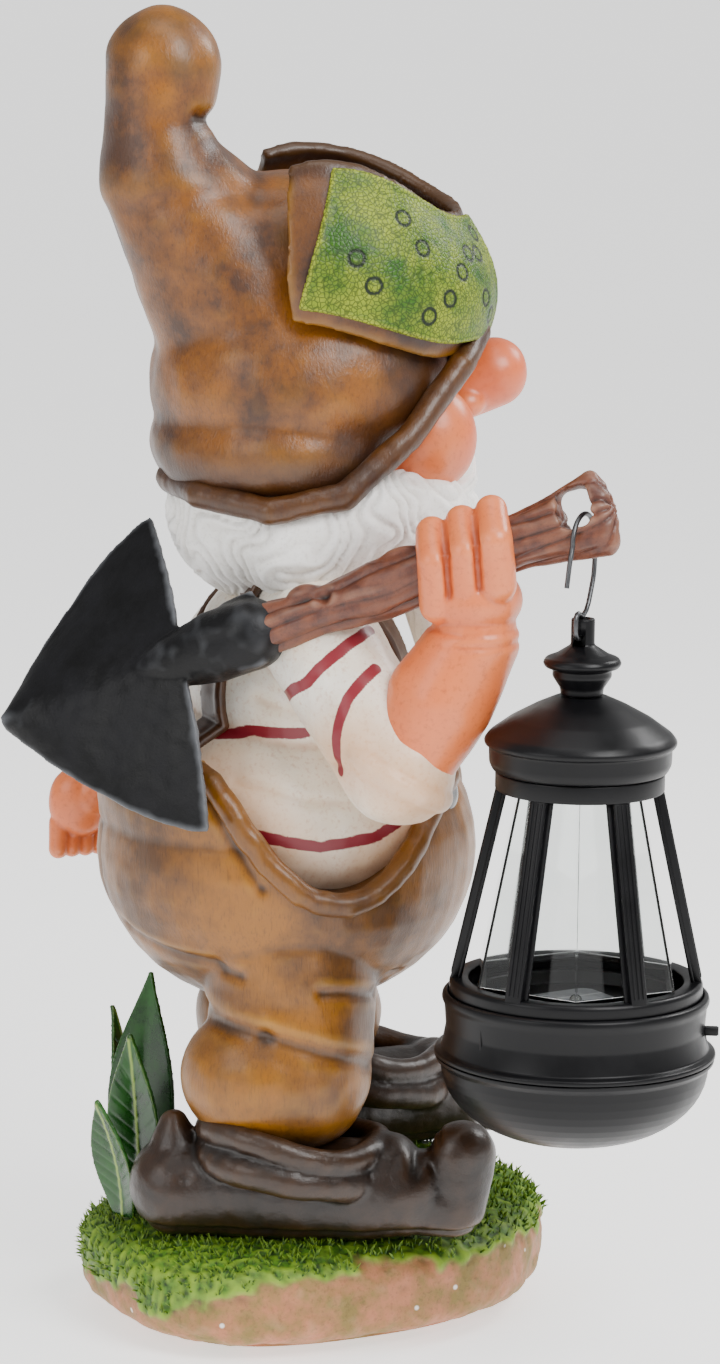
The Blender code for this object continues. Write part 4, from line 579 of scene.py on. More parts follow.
CREASES = [  # start, middle and end of each crease, its width and its depth in millimetres
    ((-0.0725, 0.0284, 0.1474), (-0.0773, 0.0051, 0.1402), (-0.0531, -0.0289, 0.1257), 4.5, 2.2),
    ((-0.0300, 0.0520, 0.1560), (-0.0560, 0.0440, 0.1510), (-0.0725, 0.0284, 0.1474), 4.5, 1.8),
    ((-0.0641, 0.0517, 0.2586), (-0.0714, 0.0428, 0.2381), (-0.0778, 0.0307, 0.2167), 2.6, 1.6),
    ((-0.0700, 0.0050, 0.1660), (-0.0660, -0.0240, 0.1620), (-0.0480, -0.0450, 0.1560), 2.8, 1.4),
    ((0.0330, 0.0250, 0.1480), (0.0680, 0.0000, 0.1440), (0.0600, -0.0480, 0.1300), 3.0, 2.4),
    ((0.0690, 0.0480, 0.2480), (0.0760, 0.0330, 0.2240), (0.0790, 0.0200, 0.2060), 2.6, 1.4),
    ((0.0000, -0.0800, 0.2000), (0.0000, -0.0720, 0.1750), (0.0000, -0.0500, 0.1560), 3.4, 2.0),
    ((0.0000, 0.0900, 0.2300), (0.0000, 0.0880, 0.1950), (0.0000, 0.0600, 0.1600), 3.2, 2.0),
    ((-0.0200, 0.0880, 0.1850), (-0.0480, 0.0700, 0.1760), (-0.0680, 0.0420, 0.1740), 3.4, 1.6),
    ((0.0200, 0.0880, 0.1850), (0.0480, 0.0700, 0.1760), (0.0680, 0.0420, 0.1740), 3.4, 1.6),
]
spots = coordinates(trousers)
heights = noise_at(spots, 0.030, 1) * 0.0010 + noise_at(spots, 0.009, 2) * 0.0003
for *line, width, depth in CREASES:
    line = onto(trousers, line)
    heights += groove(spots, line, width * MM, depth * MM)
    lifted = [p + Vector((0, 0, 0.005)) for p in line]
    heights += groove(spots, lifted, width * 1.2 * MM, -depth * 0.45 * MM)
press(trousers, heights)
spots = coordinates(trousers)
spots[:, 2] = np.minimum(spots[:, 2], waist_height(spots[:, 1]))
spots[:, 2] = np.maximum(spots[:, 2], GROUND + 0.002)
place(trousers, spots)
mark_hollows(trousers)
print("creases:", len(CREASES))


# %% Waistband
def ray_ring(mesh, centre, level_at, count=72):
    """Where horizontal rays towards a centre meet a skin, at a level that depends on the place."""
    tree = skin_tree(mesh)
    ring = []
    for index in range(count):
        angle = index * math.tau / count
        way = Vector((math.sin(angle), -math.cos(angle), 0))
        hit = centre + way * 0.08
        for _ in range(4):
            start = Vector((centre.x, centre.y, level_at(hit))) + way * 0.3
            found = tree.ray_cast(start, -way)[0]
            hit = found if found else hit
        ring.append(hit.copy())
    return ring


waist = ray_ring(outer_skin, SEAT, lambda p: float(waist_height(p.y)))
clay = []
for index, point in enumerate(waist):
    following = waist[(index + 1) % len(waist)]
    puff = 0.0056 + 0.0005 * noise.noise(point * 40)
    stroke(clay, [(point - Vector((0, 0, 0.003)), puff), (following - Vector((0, 0, 0.003)), puff)])
waistband = fused("waistband", clay, 1.0 * MM, 4)
spots = coordinates(waistband)
turn = np.arctan2(spots[:, 1] - SEAT.y, spots[:, 0])
press(
    waistband, 0.0002 * np.sin(turn * 40 + 3 * noise_at(spots, 0.02, 5)) + 0.0004 * noise_at(spots, 0.010, 6),
)
mark_hollows(waistband, 8)
waist_line = [*waist, waist[0]]
store(waistband, "rim", np.full(len(waistband.vertices), 0.55))
# Darker next to the waist line: painted shade under the waistband's roll.
store(trousers, "rim", 1 - step(0.004, 0.012, near(coordinates(trousers), waist_line)))
piece("trouser_casting", trousers, trouser_paint, ["trousers"])
piece("waistband", waistband, trouser_paint)

# %% [markdown]
# ## Shirt, straps and sleeves
# The shirt is a second soft body inside the trousers, with two short sleeves whose ends are rolled up. Its
# stripes were painted by hand, so each one is a line of points on the skin, and the attribute `stripe` is one
# within half a stripe's width of the line. The straps are cut out of the shirt's own skin, so that they
# follow it exactly, and are then given the thickness of leather.

# %% Shirt
STRIPE_WIDTH = 5.4 * MM


def striped(mesh, lines, waist=()):
    spots = coordinates(mesh)
    reach = np.full(len(spots), 1.0)
    for line in lines:
        reach = np.minimum(reach, near(spots, onto(mesh, line)))
    wobble = noise_at(spots, 0.006, 8) * 0.0004
    store(mesh, "stripe", 1 - step(-0.0008, 0.0008, reach + wobble - STRIPE_WIDTH / 2))
    # The shade attribute is painted shade: higher next to the waistband and next to each sleeve's roll.
    store(mesh, "shade", 1 - step(0.002, 0.034, near(spots, waist)) if waist else np.zeros(len(spots)))


def both_sides(line):
    return [line, [(-x, y, z) for x, y, z in line]]


clay = []
dab(clay, PAUNCH, PAUNCH_HALF)
dab(clay, CHEST, CHEST_HALF)
stroke(clay, [(SHOULDER_LEFT, 0.024), (CHEST + Vector((0, 0, 0.042)), 0.030), (SHOULDER_RIGHT, 0.024)])
shirt = fused("shirt", clay, 1.4 * MM)
strap_skin = shirt.copy()
SHIRT_STRIPES = [
    [(-0.0571, 0.0081, 0.2820), (-0.0478, 0.0300, 0.2815), (-0.0326, 0.0482, 0.2771), (0, 0.0560, 0.2750),
     (0.0326, 0.0482, 0.2771), (0.0478, 0.0300, 0.2815), (0.0571, 0.0081, 0.2820)],
    [(-0.0571, -0.0300, 0.2800), (-0.0400, -0.0560, 0.2730), (0, -0.0680, 0.2700), (0.0400, -0.0560, 0.2730),
     (0.0571, -0.0300, 0.2800)],
    *both_sides([(-0.0600, 0.0480, 0.2420), (-0.0689, 0.0233, 0.2367), (-0.0707, 0.0038, 0.2333),
                 (-0.0674, -0.0208, 0.2358), (-0.0620, -0.0380, 0.2430), (-0.0420, -0.0640, 0.2500)]),
    [(-0.0500, 0.0300, 0.3150), (-0.0300, 0.0440, 0.3160), (0, 0.0500, 0.3160), (0.0300, 0.0440, 0.3160),
     (0.0500, 0.0300, 0.3150)],
]
spots = coordinates(shirt)
heights = noise_at(spots, 0.028, 11) * 0.0014 + noise_at(spots, 0.010, 12) * 0.0004
for side in (-1, 1):
    arm_fold = [(side * 0.052, -0.030, 0.300), (side * 0.058, 0.000, 0.288), (side * 0.052, 0.030, 0.296)]
    hip_fold = [(side * 0.073, -0.020, 0.252), (side * 0.072, 0.010, 0.254), (side * 0.060, 0.040, 0.262)]
    heights += groove(spots, arm_fold, 3.5 * MM, 1.6 * MM) + groove(spots, hip_fold, 3.2 * MM, 1.2 * MM)
press(shirt, heights)
striped(shirt, SHIRT_STRIPES, waist_line)
mark_hollows(shirt)
piece("shirt", shirt, cream_paint, ["shirt_torso"])


# %% Straps
def cut_out(mesh, planes):
    """What is left of a skin behind every plane, given as a point and a normal."""
    bm = bmesh.new()
    bm.from_mesh(mesh)
    for point, normal in planes:
        parts = [*bm.verts, *bm.edges, *bm.faces]
        bmesh.ops.bisect_plane(bm, geom=parts, plane_co=point, plane_no=normal, clear_outer=True)
    return mesh_of(bm, mesh.name + "_cut")


for name, side in (("right", -1), ("left", 1)):
    middle = side * 0.031
    sheet = cut_out(
        strap_skin,
        [
            (Vector((middle - 0.0065, 0, 0)), Vector((-1, 0, 0))),
            (Vector((middle + 0.0065, 0, 0)), Vector((1, 0, 0))),
            (Vector((0, 0, SEAT.z + 0.042)), Vector((0, 0, -1))),
        ],
    )
    strap = evaluated(sheet, f"strap_{name}", [("SOLIDIFY", {"thickness": 0.0034, "offset": 1.0})])
    strap = remelted(strap, 0.9 * MM, 3)
    spots = coordinates(strap)
    edge = np.abs(np.abs(spots[:, 0] - middle) - 0.0062)
    press(strap, 0.0006 * np.exp(-((edge / 0.0012) ** 2)) + 0.0003 * noise_at(spots, 0.006, 14))
    mark_hollows(strap, 6)
    piece(strap.name, strap, strap_paint, [f"brace_front_{name}", f"brace_back_{name}"])

# %% Buttons
# Painted polyresin with a gloss varnish over black, so each button shows one small bright highlight.
button_paint, tree, shader = painted_resin(
    "button_gloss_black", "#0b0b0d", "#141416", "#020202", "#56585c", patch_mm=6, grain_mm=0.8, bump_mm=0.05,
    rough=(0.16, 0.26), coat=0.6,
)
for name, side in (("right", -1), ("left", 1)):
    turn = math.radians(33) * side
    outward = Vector((math.sin(turn), -math.cos(turn), 0.12)).normalized()
    spot = SEAT + Vector((outward.x * 0.0738, outward.y * 0.0809, 0.030))
    bm = bmesh.new()
    bmesh.ops.create_uvsphere(bm, u_segments=40, v_segments=20, radius=1)
    for vert in bm.verts:
        radial = math.hypot(vert.co.x, vert.co.y)
        hollow = 0.16 * math.exp(-((radial / 0.45) ** 2)) if vert.co.z > 0 else 0
        vert.co = Vector((vert.co.x * 0.0080, vert.co.y * 0.0080, (vert.co.z - hollow) * 0.0036))
    bmesh.ops.transform(bm, matrix=outward.to_track_quat("Z", "Y").to_matrix().to_4x4(), verts=bm.verts)
    bmesh.ops.translate(bm, vec=spot, verts=bm.verts)
    button = mesh_of(bm, f"waist_button_{name}")
    mark_hollows(button, 4)
    piece(button.name, button, button_paint, [f"button_{name}"])


# %% Sleeves
def sleeve(name, shoulder, elbow, wrist, lines):
    """An upper sleeve whose end is rolled up round the forearm."""
    clay = []
    stroke(clay, [(shoulder, 0.0260), (shoulder.lerp(elbow, 0.55), 0.0255), (elbow, 0.0250)])
    out = (wrist - elbow).normalized()
    side = out.orthogonal().normalized()
    roll = []
    for index in range(25):
        way = Matrix.Rotation(index * math.tau / 24, 3, out) @ side
        roll.append((elbow - out * 0.002 + way * 0.0222, 0.0056))
    stroke(clay, roll)
    stroke(clay, [(p + out * 0.0075 - (p - elbow).normalized() * 0.0020, 0.0042) for p, _ in roll])
    mesh = fused(name, clay, 1.1 * MM, 6)
    spots = coordinates(mesh)
    heights = noise_at(spots, 0.020, 15) * 0.0010 + noise_at(spots, 0.008, 16) * 0.0004
    for lift in (0.010, 0.024):
        fold = [p - out * lift + (p - elbow).normalized() * 0.004 for p, _ in roll]
        heights += groove(spots, fold, 2.6 * MM, 1.3 * MM)
    armpit = [shoulder + Vector((0, y, -0.020)) for y in (-0.02, 0, 0.02)]
    heights += groove(spots, armpit, 4 * MM, 1.5 * MM)
    press(mesh, heights)
    striped(mesh, lines, [p for p, _ in roll])
    mark_hollows(mesh)
    return mesh


RIGHT_STRIPES = [
    [
        (-0.0567, 0.0176, 0.2968), (-0.0881, 0.0114, 0.3113), (-0.0903, -0.0019, 0.3244),
        (-0.0790, -0.0169, 0.3312),
    ],
    [
        (-0.1040, -0.0001, 0.2744), (-0.1040, 0.0017, 0.2887), (-0.1028, -0.0038, 0.3060),
        (-0.0958, -0.0169, 0.3178),
    ],
]
wrist = HAND - Vector((0, 0, 0.037))
right_sleeve = sleeve("sleeve_right", SHOULDER_RIGHT, ELBOW_RIGHT, wrist, RIGHT_STRIPES)
piece("sleeve_right", right_sleeve, cream_paint, ["right_sleeve"])
LEFT_STRIPES = [
    [(0.0567, 0.0300, 0.3050), (0.0790, 0.0300, 0.3160), (0.0930, 0.0130, 0.3130), (0.0900, -0.0050, 0.2990)],
    [(0.0860, 0.0560, 0.2800), (0.1060, 0.0500, 0.2880), (0.1160, 0.0290, 0.2800), (0.1080, 0.0120, 0.2640)],
]
left_sleeve = sleeve("sleeve_left", SHOULDER_LEFT, ELBOW_LEFT, HAND_LEFT, LEFT_STRIPES)
piece("sleeve_left", left_sleeve, cream_paint, ["left_sleeve"])

# %% [markdown]
# ## Arms and head
# Skin is sprayed in a warm orange-pink and is darker in the creases, where a wash is also painted shade.
# Fingers are strokes that curl round the handle. The face is a plain friendly one: a round nose, two fat
# cheeks, small eyes under the brim and a mouth that the moustache half hides.

# %% Right hand
clay = []
start = ELBOW_RIGHT + Vector((-0.002, -0.006, 0.004))
stroke(clay, [(start, 0.0185), (ELBOW_RIGHT.lerp(wrist, 0.55), 0.0240), (wrist, 0.0195)])
dab(clay, HAND - Vector((0, 0, 0.019)), (0.0195, 0.0205, 0.017))
finger_gaps = []
for index in range(3):
    spot = HAND + ALONG * 0.0142 * (index - 1)
    knuckle = spot - Vector((0, 0, 0.018)) + FACE * 0.0115
    middle = spot + FACE * 0.016
    tip = spot + ACROSS * 0.015 + FACE * 0.0072
    stroke(clay, [(knuckle, 0.0084), (middle, 0.0080), (tip, 0.0072)])
    if index < 2:
        half = ALONG * 0.0071 + FACE * 0.006
        finger_gaps.append([knuckle + half, middle + half, tip + half + ACROSS * 0.004])
thumb = [HAND - ACROSS * 0.014 - FACE * 0.0138, HAND + ALONG * 0.006 + ACROSS * 0.008 - FACE * 0.0158]
stroke(clay, [(thumb[0], 0.0085), (thumb[1], 0.0068)])
right_arm = fused("arm_right", clay, 1.0 * MM, 3)
spots = coordinates(right_arm)
heights = noise_at(spots, 0.016, 21) * 0.0006
for line in finger_gaps:
    heights += groove(spots, line, 1.6 * MM, 2.2 * MM)
for bend in (-0.037, -0.031):
    ring = [
        HAND + Vector((0.02 * math.sin(a), -0.02 * math.cos(a), bend))
        for a in np.linspace(0, math.tau, 13)
    ]
    heights += groove(spots, ring, 1.6 * MM, 0.8 * MM)
press(right_arm, heights)
# Darker next to the handle the hand grips: painted shade between hand and handle.
store(
    right_arm, "blush_and_shade",
    1 - step(0.004, 0.016, near(coordinates(right_arm), [HAND - ALONG * 0.02, HAND + ALONG * 0.02])),
)
mark_hollows(right_arm, 12)
piece("arm_right", right_arm, skin_paint, ["right_forearm"])

# %% Left hand
clay = []
start = ELBOW_LEFT + Vector((0.000, 0.006, -0.004))
stroke(clay, [(start, 0.0165), (ELBOW_LEFT.lerp(HAND_LEFT, 0.6), 0.0150), (HAND_LEFT, 0.0120)])
dab(clay, HAND_LEFT + Vector((0, 0.004, -0.002)), (0.011, 0.015, 0.017))
for index in range(4):
    root = HAND_LEFT + Vector((0.006 - 0.002 * index, -0.006 + 0.0065 * index, -0.012))
    stroke(clay, [(root, 0.0052), (root + Vector((-0.003, 0.001, -0.012)), 0.0046)])
stroke(
    clay,
    [
        (HAND_LEFT + Vector((0.004, -0.010, 0.004)), 0.0056),
        (HAND_LEFT + Vector((0.004, -0.014, -0.010)), 0.0046),
    ],
)
left_arm = fused("arm_left", clay, 0.9 * MM, 2)
press(left_arm, noise_at(coordinates(left_arm), 0.014, 22) * 0.0005)
store(left_arm, "blush_and_shade", np.zeros(len(left_arm.vertices)))
mark_hollows(left_arm, 12)
piece("arm_left", left_arm, skin_paint, ["left_forearm"])

# %% Head
clay = []
dab(clay, HEAD, HEAD_HALF)
for side in (-1, 1):
    dab(clay, HEAD + Vector((side * 0.031, -0.041, 0.004)), (0.0205, 0.0215, 0.0242))
    dab(clay, HEAD + Vector((side * 0.049, 0.004, 0.006)), (0.006, 0.011, 0.015))
nose = [HEAD + Vector((0, -0.048, 0.014)), HEAD + Vector((0, -0.076, 0.0285))]
stroke(clay, [(nose[0], 0.0126), (nose[1], 0.0158)])
for side in (-1, 1):
    dab(clay, HEAD + Vector((side * 0.011, -0.062, 0.016)), (0.0075, 0.0085, 0.0070))
dab(clay, HEAD + Vector((0, -0.050, -0.024)), (0.013, 0.010, 0.008))
stroke(clay, [(HEAD, 0.030), (CHEST + Vector((0, -0.004, 0.050)), 0.026)])
head = fused("face_and_neck", clay, 1.2 * MM, 5)
spots = coordinates(head)
heights = noise_at(spots, 0.018, 24) * 0.0006
mouth = [
    HEAD + Vector((x, -0.062 + 18 * x * x, -0.021 + 12 * x * x))
    for x in (-0.014, -0.007, 0, 0.007, 0.014)
]
heights += groove(spots, mouth, 1.6 * MM, 3.0 * MM)
for side in (-1, 1):
    socket = HEAD + Vector((side * 0.0185, -0.044, 0.033))
    heights += groove(spots, [socket, socket + Vector((side * 0.003, 0, 0))], 6.5 * MM, 2.6 * MM)
    crow = [HEAD + Vector((side * 0.036, -0.034, 0.030)), HEAD + Vector((side * 0.044, -0.022, 0.022))]
    heights += groove(spots, crow, 1.6 * MM, 0.8 * MM)
    smile = [HEAD + Vector((side * 0.013, -0.062, 0.006)), HEAD + Vector((side * 0.020, -0.060, -0.014))]
    heights += groove(spots, smile, 2.0 * MM, 1.5 * MM)
press(head, heights)
spots = coordinates(head)
cheeks = [near(spots, [HEAD + Vector((side * 0.034, -0.058, 0.004))]) for side in (-1, 1)]
store(
    head, "blush_and_shade",
    0.8 * (1 - step(0.004, 0.022, np.minimum(near(spots, [nose[1]]) - 0.008, np.minimum(*cheeks)))),
)
mark_hollows(head, 12)
piece("face_and_neck", head, skin_paint, ["head"])

# %% Eyes
# Enamel painted by hand and glazed with clear gloss: a white, a brown iris and a black pupil, wet-looking.
eye_paint, tree, shader = new_material("eye_gloss_enamel", Roughness=0.12, Coat_Weight=0.6)
ring = add(tree, "Attribute", attribute_name="ring").outputs["Fac"]
white = add(tree, "MapRange", {"Value": ring, "From Min": 0.52, "From Max": 0.58})
iris = add(tree, "Mix", {0: white.outputs[0], 6: colour("#3b2212"), 7: colour("#f2efe9")}, data_type="RGBA")
brown = add(tree, "MapRange", {"Value": ring, "From Min": 0.24, "From Max": 0.30})
pupil = add(tree, "Mix", {0: brown.outputs[0], 6: colour("#060505"), 7: iris.outputs[2]}, data_type="RGBA")
tree.links.new(pupil.outputs[2], shader.inputs["Base Color"])
for name, side in (("right", -1), ("left", 1)):
    bm = bmesh.new()
    bmesh.ops.create_uvsphere(bm, u_segments=32, v_segments=24, radius=0.0064)
    look = Vector((side * 0.22, -1, -0.05)).normalized()
    centre = HEAD + Vector((side * 0.0185, -0.0350, 0.0325))
    bmesh.ops.transform(bm, matrix=look.to_track_quat("Z", "Y").to_matrix().to_4x4(), verts=bm.verts)
    eye = mesh_of(bm, f"eye_{name}")
    away = coordinates(eye) @ np.array(look) / 0.0064
    store(eye, "ring", np.sqrt(np.clip(1 - away**2, 0, 1)) + (away < 0))
    eye.transform(Matrix.Translation(centre))
    piece(eye.name, eye, eye_paint)

# %% [markdown]
# ## Hair, beard and moustache
# The sculptor carved soft waves into the hair with a round tool. They run down the back of the head and sweep
# round the face into the beard. A wave is a sine of the turn round the head, bent by slow noise, and it fades
# a little where two locks meet.


# %% Hair
def carved(mesh, centre, wave, depth, seed, lean=0.0):
    """Rounded locks that run down and are bent by noise; wave is their width in metres."""
    spots = coordinates(mesh)
    turn = np.arctan2(spots[:, 0] - centre.x, spots[:, 1] - centre.y)
    bend = noise_at(spots, 0.030, seed) * 0.55 + noise_at(spots, 0.013, seed + 1) * 0.16
    phase = (turn + bend + (spots[:, 2] - centre.z) * lean) * 0.055 / wave * math.tau
    locks = np.abs(np.sin(phase / 2)) ** 0.7
    fine = np.sin(phase * 2.3 + 2 * noise_at(spots, 0.01, seed + 2))
    press(mesh, depth * (locks - 0.6) + 0.00018 * fine)
    mark_hollows(mesh, 10)


clay = []
dab(clay, HEAD + Vector((0, 0.029, -0.029)), (0.056, 0.044, 0.043))
for side in (-1, 1):
    stroke(
        clay,
        [
            (HEAD + Vector((side * 0.040, 0.020, -0.040)), 0.026),
            (HEAD + Vector((side * 0.047, -0.012, -0.026)), 0.019),
            (HEAD + Vector((side * 0.034, -0.040, -0.028)), 0.018),
            (HEAD + Vector((side * 0.012, -0.052, -0.050)), 0.020),
        ],
    )
beard = [((0, -0.050, -0.040), 0.022), ((0, -0.056, -0.070), 0.022), ((0, -0.056, -0.096), 0.014)]
stroke(clay, [(HEAD + Vector(point), radius) for point, radius in beard])
hair = fused("hair_and_beard", clay, 1.2 * MM, 6)
carved(hair, HEAD, 8.5 * MM, 0.0019, 31, lean=6.0)
piece("hair_and_beard", hair, hair_paint, ["hair_beard"])

# %% Moustache and brows
clay = []
for side in (-1, 1):
    lip = [
        ((0.001, -0.059, -0.006), 0.0080), ((0.016, -0.057, -0.017), 0.0085),
        ((0.030, -0.050, -0.030), 0.0045),
    ]
    stroke(clay, [(HEAD + Vector((side * x, y, z)), radius) for (x, y, z), radius in lip])
moustache = fused("moustache_locks", clay, 0.8 * MM, 3)
spots = coordinates(moustache)
sweep = np.abs(spots[:, 0]) * 0.6 + (spots[:, 2] - HEAD.z)
press(moustache, 0.0006 * np.sin(sweep / 0.0036 * math.tau + 2 * noise_at(spots, 0.02, 34)))
mark_hollows(moustache, 8)
piece("moustache_locks", moustache, hair_paint, ["moustache"])
clay = []
for side in (-1, 1):
    brow = [
        ((0.010, -0.0505, 0.0400), 0.0036), ((0.020, -0.0470, 0.0450), 0.0046),
        ((0.031, -0.0380, 0.0430), 0.0030),
    ]
    stroke(clay, [(HEAD + Vector((side * x, y, z)), radius) for (x, y, z), radius in brow])
brows = fused("eyebrows", clay, 0.7 * MM, 2)
spots = coordinates(brows)
press(brows, 0.0005 * np.sin((spots[:, 0] * 1.2 + spots[:, 2]) / 0.003 * math.tau))
mark_hollows(brows, 6)
piece("eyebrows", brows, hair_paint)

# %% [markdown]
# ## Hat
# The hat droops: a bell over the head that narrows backwards to a round tip. Its lower edge is a rolled lip
# that climbs from the nape to the brow. The front of the brim is turned up as a separate flap of the same
# felt, and a patch of snake-skin is sewn on its right side.


# %% Crown
def brim_height(y):
    behind = (y - HEAD.y) - 0.040
    climb = 10.5 * np.minimum(0.0, behind + 0.012) ** 2 * step(0.0, 0.050, -behind)
    return HEAD.z - 0.026 + np.minimum(climb, 0.078)


BRIM_EDGE = [
    (0.000, 0.072, -0.016),
    (-0.036, 0.064, -0.018),
    (-0.062, 0.036, -0.022),
    (-0.066, 0.004, -0.016),
    (-0.060, -0.026, 0.008),
    (-0.046, -0.052, 0.038),
    (-0.024, -0.064, 0.050),
    (0.000, -0.067, 0.053),
]
bell = HEAD + Vector((0, 0.011, 0.028))
clay = []
dab(clay, bell, (CROWN_RADIUS, CROWN_RADIUS * 1.05, 0.056))
dab(clay, HEAD + Vector((0, 0.019, 0.000)), (CROWN_RADIUS * 1.01, 0.061, 0.036))
dab(clay, HEAD + Vector((0, 0.020, 0.082)), (0.044, 0.040, 0.040))
stroke(
    clay,
    [
        (bell + Vector((0, 0.000, 0.006)), CROWN_RADIUS * 0.88),
        (HEAD + Vector((0.001, 0.050, 0.0848)), 0.0400),
        (HAT_TIP + Vector((-0.002, 0.000, -0.052)), 0.0290),
        (HAT_TIP + Vector((-0.001, 0.004, -0.028)), TIP_RADIUS * 0.90),
        (HAT_TIP, TIP_RADIUS),
    ],
)
lip = [HEAD + Vector(point) for point in BRIM_EDGE]
lip_ring = lip + [Vector((-p.x, p.y, p.z)) for p in reversed(lip[1:-1])] + lip[:1]
hat = fused("hat_crown", clay, 1.6 * MM, 30)
spots = coordinates(hat)
spots[:, 2] = np.maximum(spots[:, 2], brim_height(spots[:, 1]))
place(hat, spots)
heights = noise_at(spots, 0.034, 41) * 0.0018 + noise_at(spots, 0.012, 42) * 0.0005
HAT_FOLDS = [
    ([(-0.020, 0.045, 0.551), (0.004, 0.035, 0.549), (0.028, 0.045, 0.551), (0.028, 0.075, 0.549)], 4.0, 2.4),
    ([(-0.034, 0.020, 0.528), (-0.040, 0.052, 0.520), (-0.020, 0.082, 0.510)], 6.0, 1.2),
    ([(0.034, 0.020, 0.528), (0.040, 0.052, 0.520), (0.020, 0.082, 0.510)], 6.0, 1.2),
    ([(0.000, 0.092, 0.440), (0.006, 0.096, 0.480), (0.002, 0.098, 0.505)], 6.0, 1.0),
]
for line, width, depth in HAT_FOLDS:
    heights += groove(spots, onto(hat, line), width * MM, depth * MM)
press(hat, heights)
spots = coordinates(hat)
store(hat, "rim", 1 - step(0.006, 0.034, near(spots, lip_ring) + 0.004 * noise_at(spots, 0.02, 47)))
mark_hollows(hat)
piece("hat_crown", hat, hat_paint, ["hat"])

# %% Rolled lip of the brim
clay = []
for first, second in zip(lip_ring, lip_ring[1:]):
    stroke(clay, [(first, 0.0062), (second, 0.0062)])
lip_roll = fused("hat_lip", clay, 1.1 * MM, 8)
spots = coordinates(lip_roll)
press(lip_roll, noise_at(spots, 0.016, 43) * 0.0008 + noise_at(spots, 0.005, 44) * 0.0003)
mark_hollows(lip_roll, 10)
store(lip_roll, "rim", np.full(len(lip_roll.vertices), 0.9))
piece("hat_lip", lip_roll, hat_paint)


# %% Turned-up front and patch
def cuff_point(turn, rise, out=0.0):
    """A point of the turned-up brim: turn is the angle from the brow, rise goes from its foot to its edge."""
    bulge = 0.0105 * math.sin(
        math.pi * min(1.0, rise * 0.95 + 0.05)
    ) - 0.0035 * float(step(1.0, 1.9, abs(turn)))
    half_x = CROWN_RADIUS * (0.985 - 0.28 * rise) + bulge + out
    half_y = CROWN_RADIUS * (1.040 - 0.085 * rise) + bulge + out
    foot = 0.043 + 0.018 * float(step(0.8, 1.9, abs(turn)))
    edge = 0.104 + 0.024 * math.sin(turn) ** 2 - 0.009 * math.exp(-(((turn + 0.75) / 0.5) ** 2))
    return HEAD + Vector(
        (half_x * math.sin(turn), 0.003 - half_y * math.cos(turn), foot + (edge - foot) * rise)
    )


def sheet_of(name, columns, rows, point_at, thickness, offset):
    """A grid whose points follow a function of two shares, given a thickness."""
    bm = bmesh.new()
    bmesh.ops.create_grid(bm, x_segments=columns, y_segments=rows, size=0.5)
    for vert in bm.verts:
        vert.co = point_at(vert.co.x + 0.5, vert.co.y + 0.5)
    bmesh.ops.recalc_face_normals(bm, faces=bm.faces)
    return evaluated(mesh_of(bm, name), name, [("SOLIDIFY", {"thickness": thickness, "offset": offset})])


CUFF_TURN = math.radians(110)
cuff = sheet_of(
    "turned_up_brim", 120, 36, lambda s, t: cuff_point((s * 2 - 1) * CUFF_TURN, t, -0.0025), 0.0050, 0.0,
)
cuff = remelted(cuff, 1.3 * MM, 6)
spots = coordinates(cuff)
edge_line = [cuff_point(a, 1.0, -0.0025) for a in np.linspace(-CUFF_TURN, CUFF_TURN, 60)]
heights = noise_at(spots, 0.024, 45) * 0.0012 + noise_at(spots, 0.008, 46) * 0.0004
press(cuff, heights + groove(spots, edge_line, 3.5 * MM, -1.2 * MM))
store(cuff, "rim", 1.1 - 0.6 * step(0.004, 0.012, near(coordinates(cuff), edge_line)))
mark_hollows(cuff)
piece("turned_up_brim", cuff, hat_paint, ["hat_brim"])


def patch_point(s, t):
    turn = -math.radians(14) - s * math.radians(78 + 14 * (1 - t))
    return cuff_point(turn, 0.10 + 0.88 * t, 0.0020)


patch = sheet_of("snakeskin_patch", 150, 84, patch_point, 0.0016, 0.0)
patch = remelted(patch, 0.8 * MM, 2)
spots = coordinates(patch)
along_edge, up_edge = np.linspace(0, 1, 30), np.linspace(0, 1, 20)
outline = [patch_point(s, 0) for s in along_edge] + [patch_point(1, t) for t in up_edge]
outline += [patch_point(s, 1) for s in along_edge[::-1]] + [patch_point(0, t) for t in up_edge[::-1]]
rings = np.full(len(spots), 1.0)
for s, t, lean in [
    (0.14, 0.26, 1), (0.32, 0.62, -1), (0.48, 0.24, -1), (0.62, 0.70, 1), (0.80, 0.34, 1), (0.14, 0.78, -1),
]:
    for side in (-1, 1):
        away = near(spots, [patch_point(s + side * 0.042, t + side * lean * 0.08)])
        rings = np.minimum(rings, np.minimum(np.abs(away - 0.0036), away))
press(patch, groove(spots, outline, 2.4 * MM, -0.9 * MM) - 0.0004 * np.exp(-((rings / 0.0009) ** 2)))
store(patch, "ring", 1 - step(0.0004, 0.0013, rings))
store(patch, "rim", 1 - step(0.001, 0.004, near(coordinates(patch), outline)))
mark_hollows(patch, 8)
# Painted polyresin with the relief of snake-skin: green acrylic, dry-brushed yellow, with a dark wash between
# the scales. Scales of 1 mm would be too fine to show, so they are drawn at 2 mm.
SCALE_MM = 2.0
snake_paint, tree, shader = painted_resin(
    "patch_snakeskin_green", "#2f5a0e", "#80901a", "#122306", "#bcbf36", patch_mm=22, grain_mm=1.4,
    bump_mm=0.3,
    rough=(0.34, 0.48), coat=0.0,
)
shader.inputs["Specular IOR Level"].default_value = 0.3
spot = add(tree, "TexCoord").outputs["Object"]
scales = add(tree, "TexVoronoi", {"Vector": spot, "Scale": 1000 / SCALE_MM}, feature="DISTANCE_TO_EDGE")
gap = add(
    tree, "MapRange",
    {"Value": scales.outputs["Distance"], "From Min": 0.02, "From Max": 0.16, "To Min": 0.75, "To Max": 0.0},
)
under = shader.inputs["Base Color"].links[0].from_socket
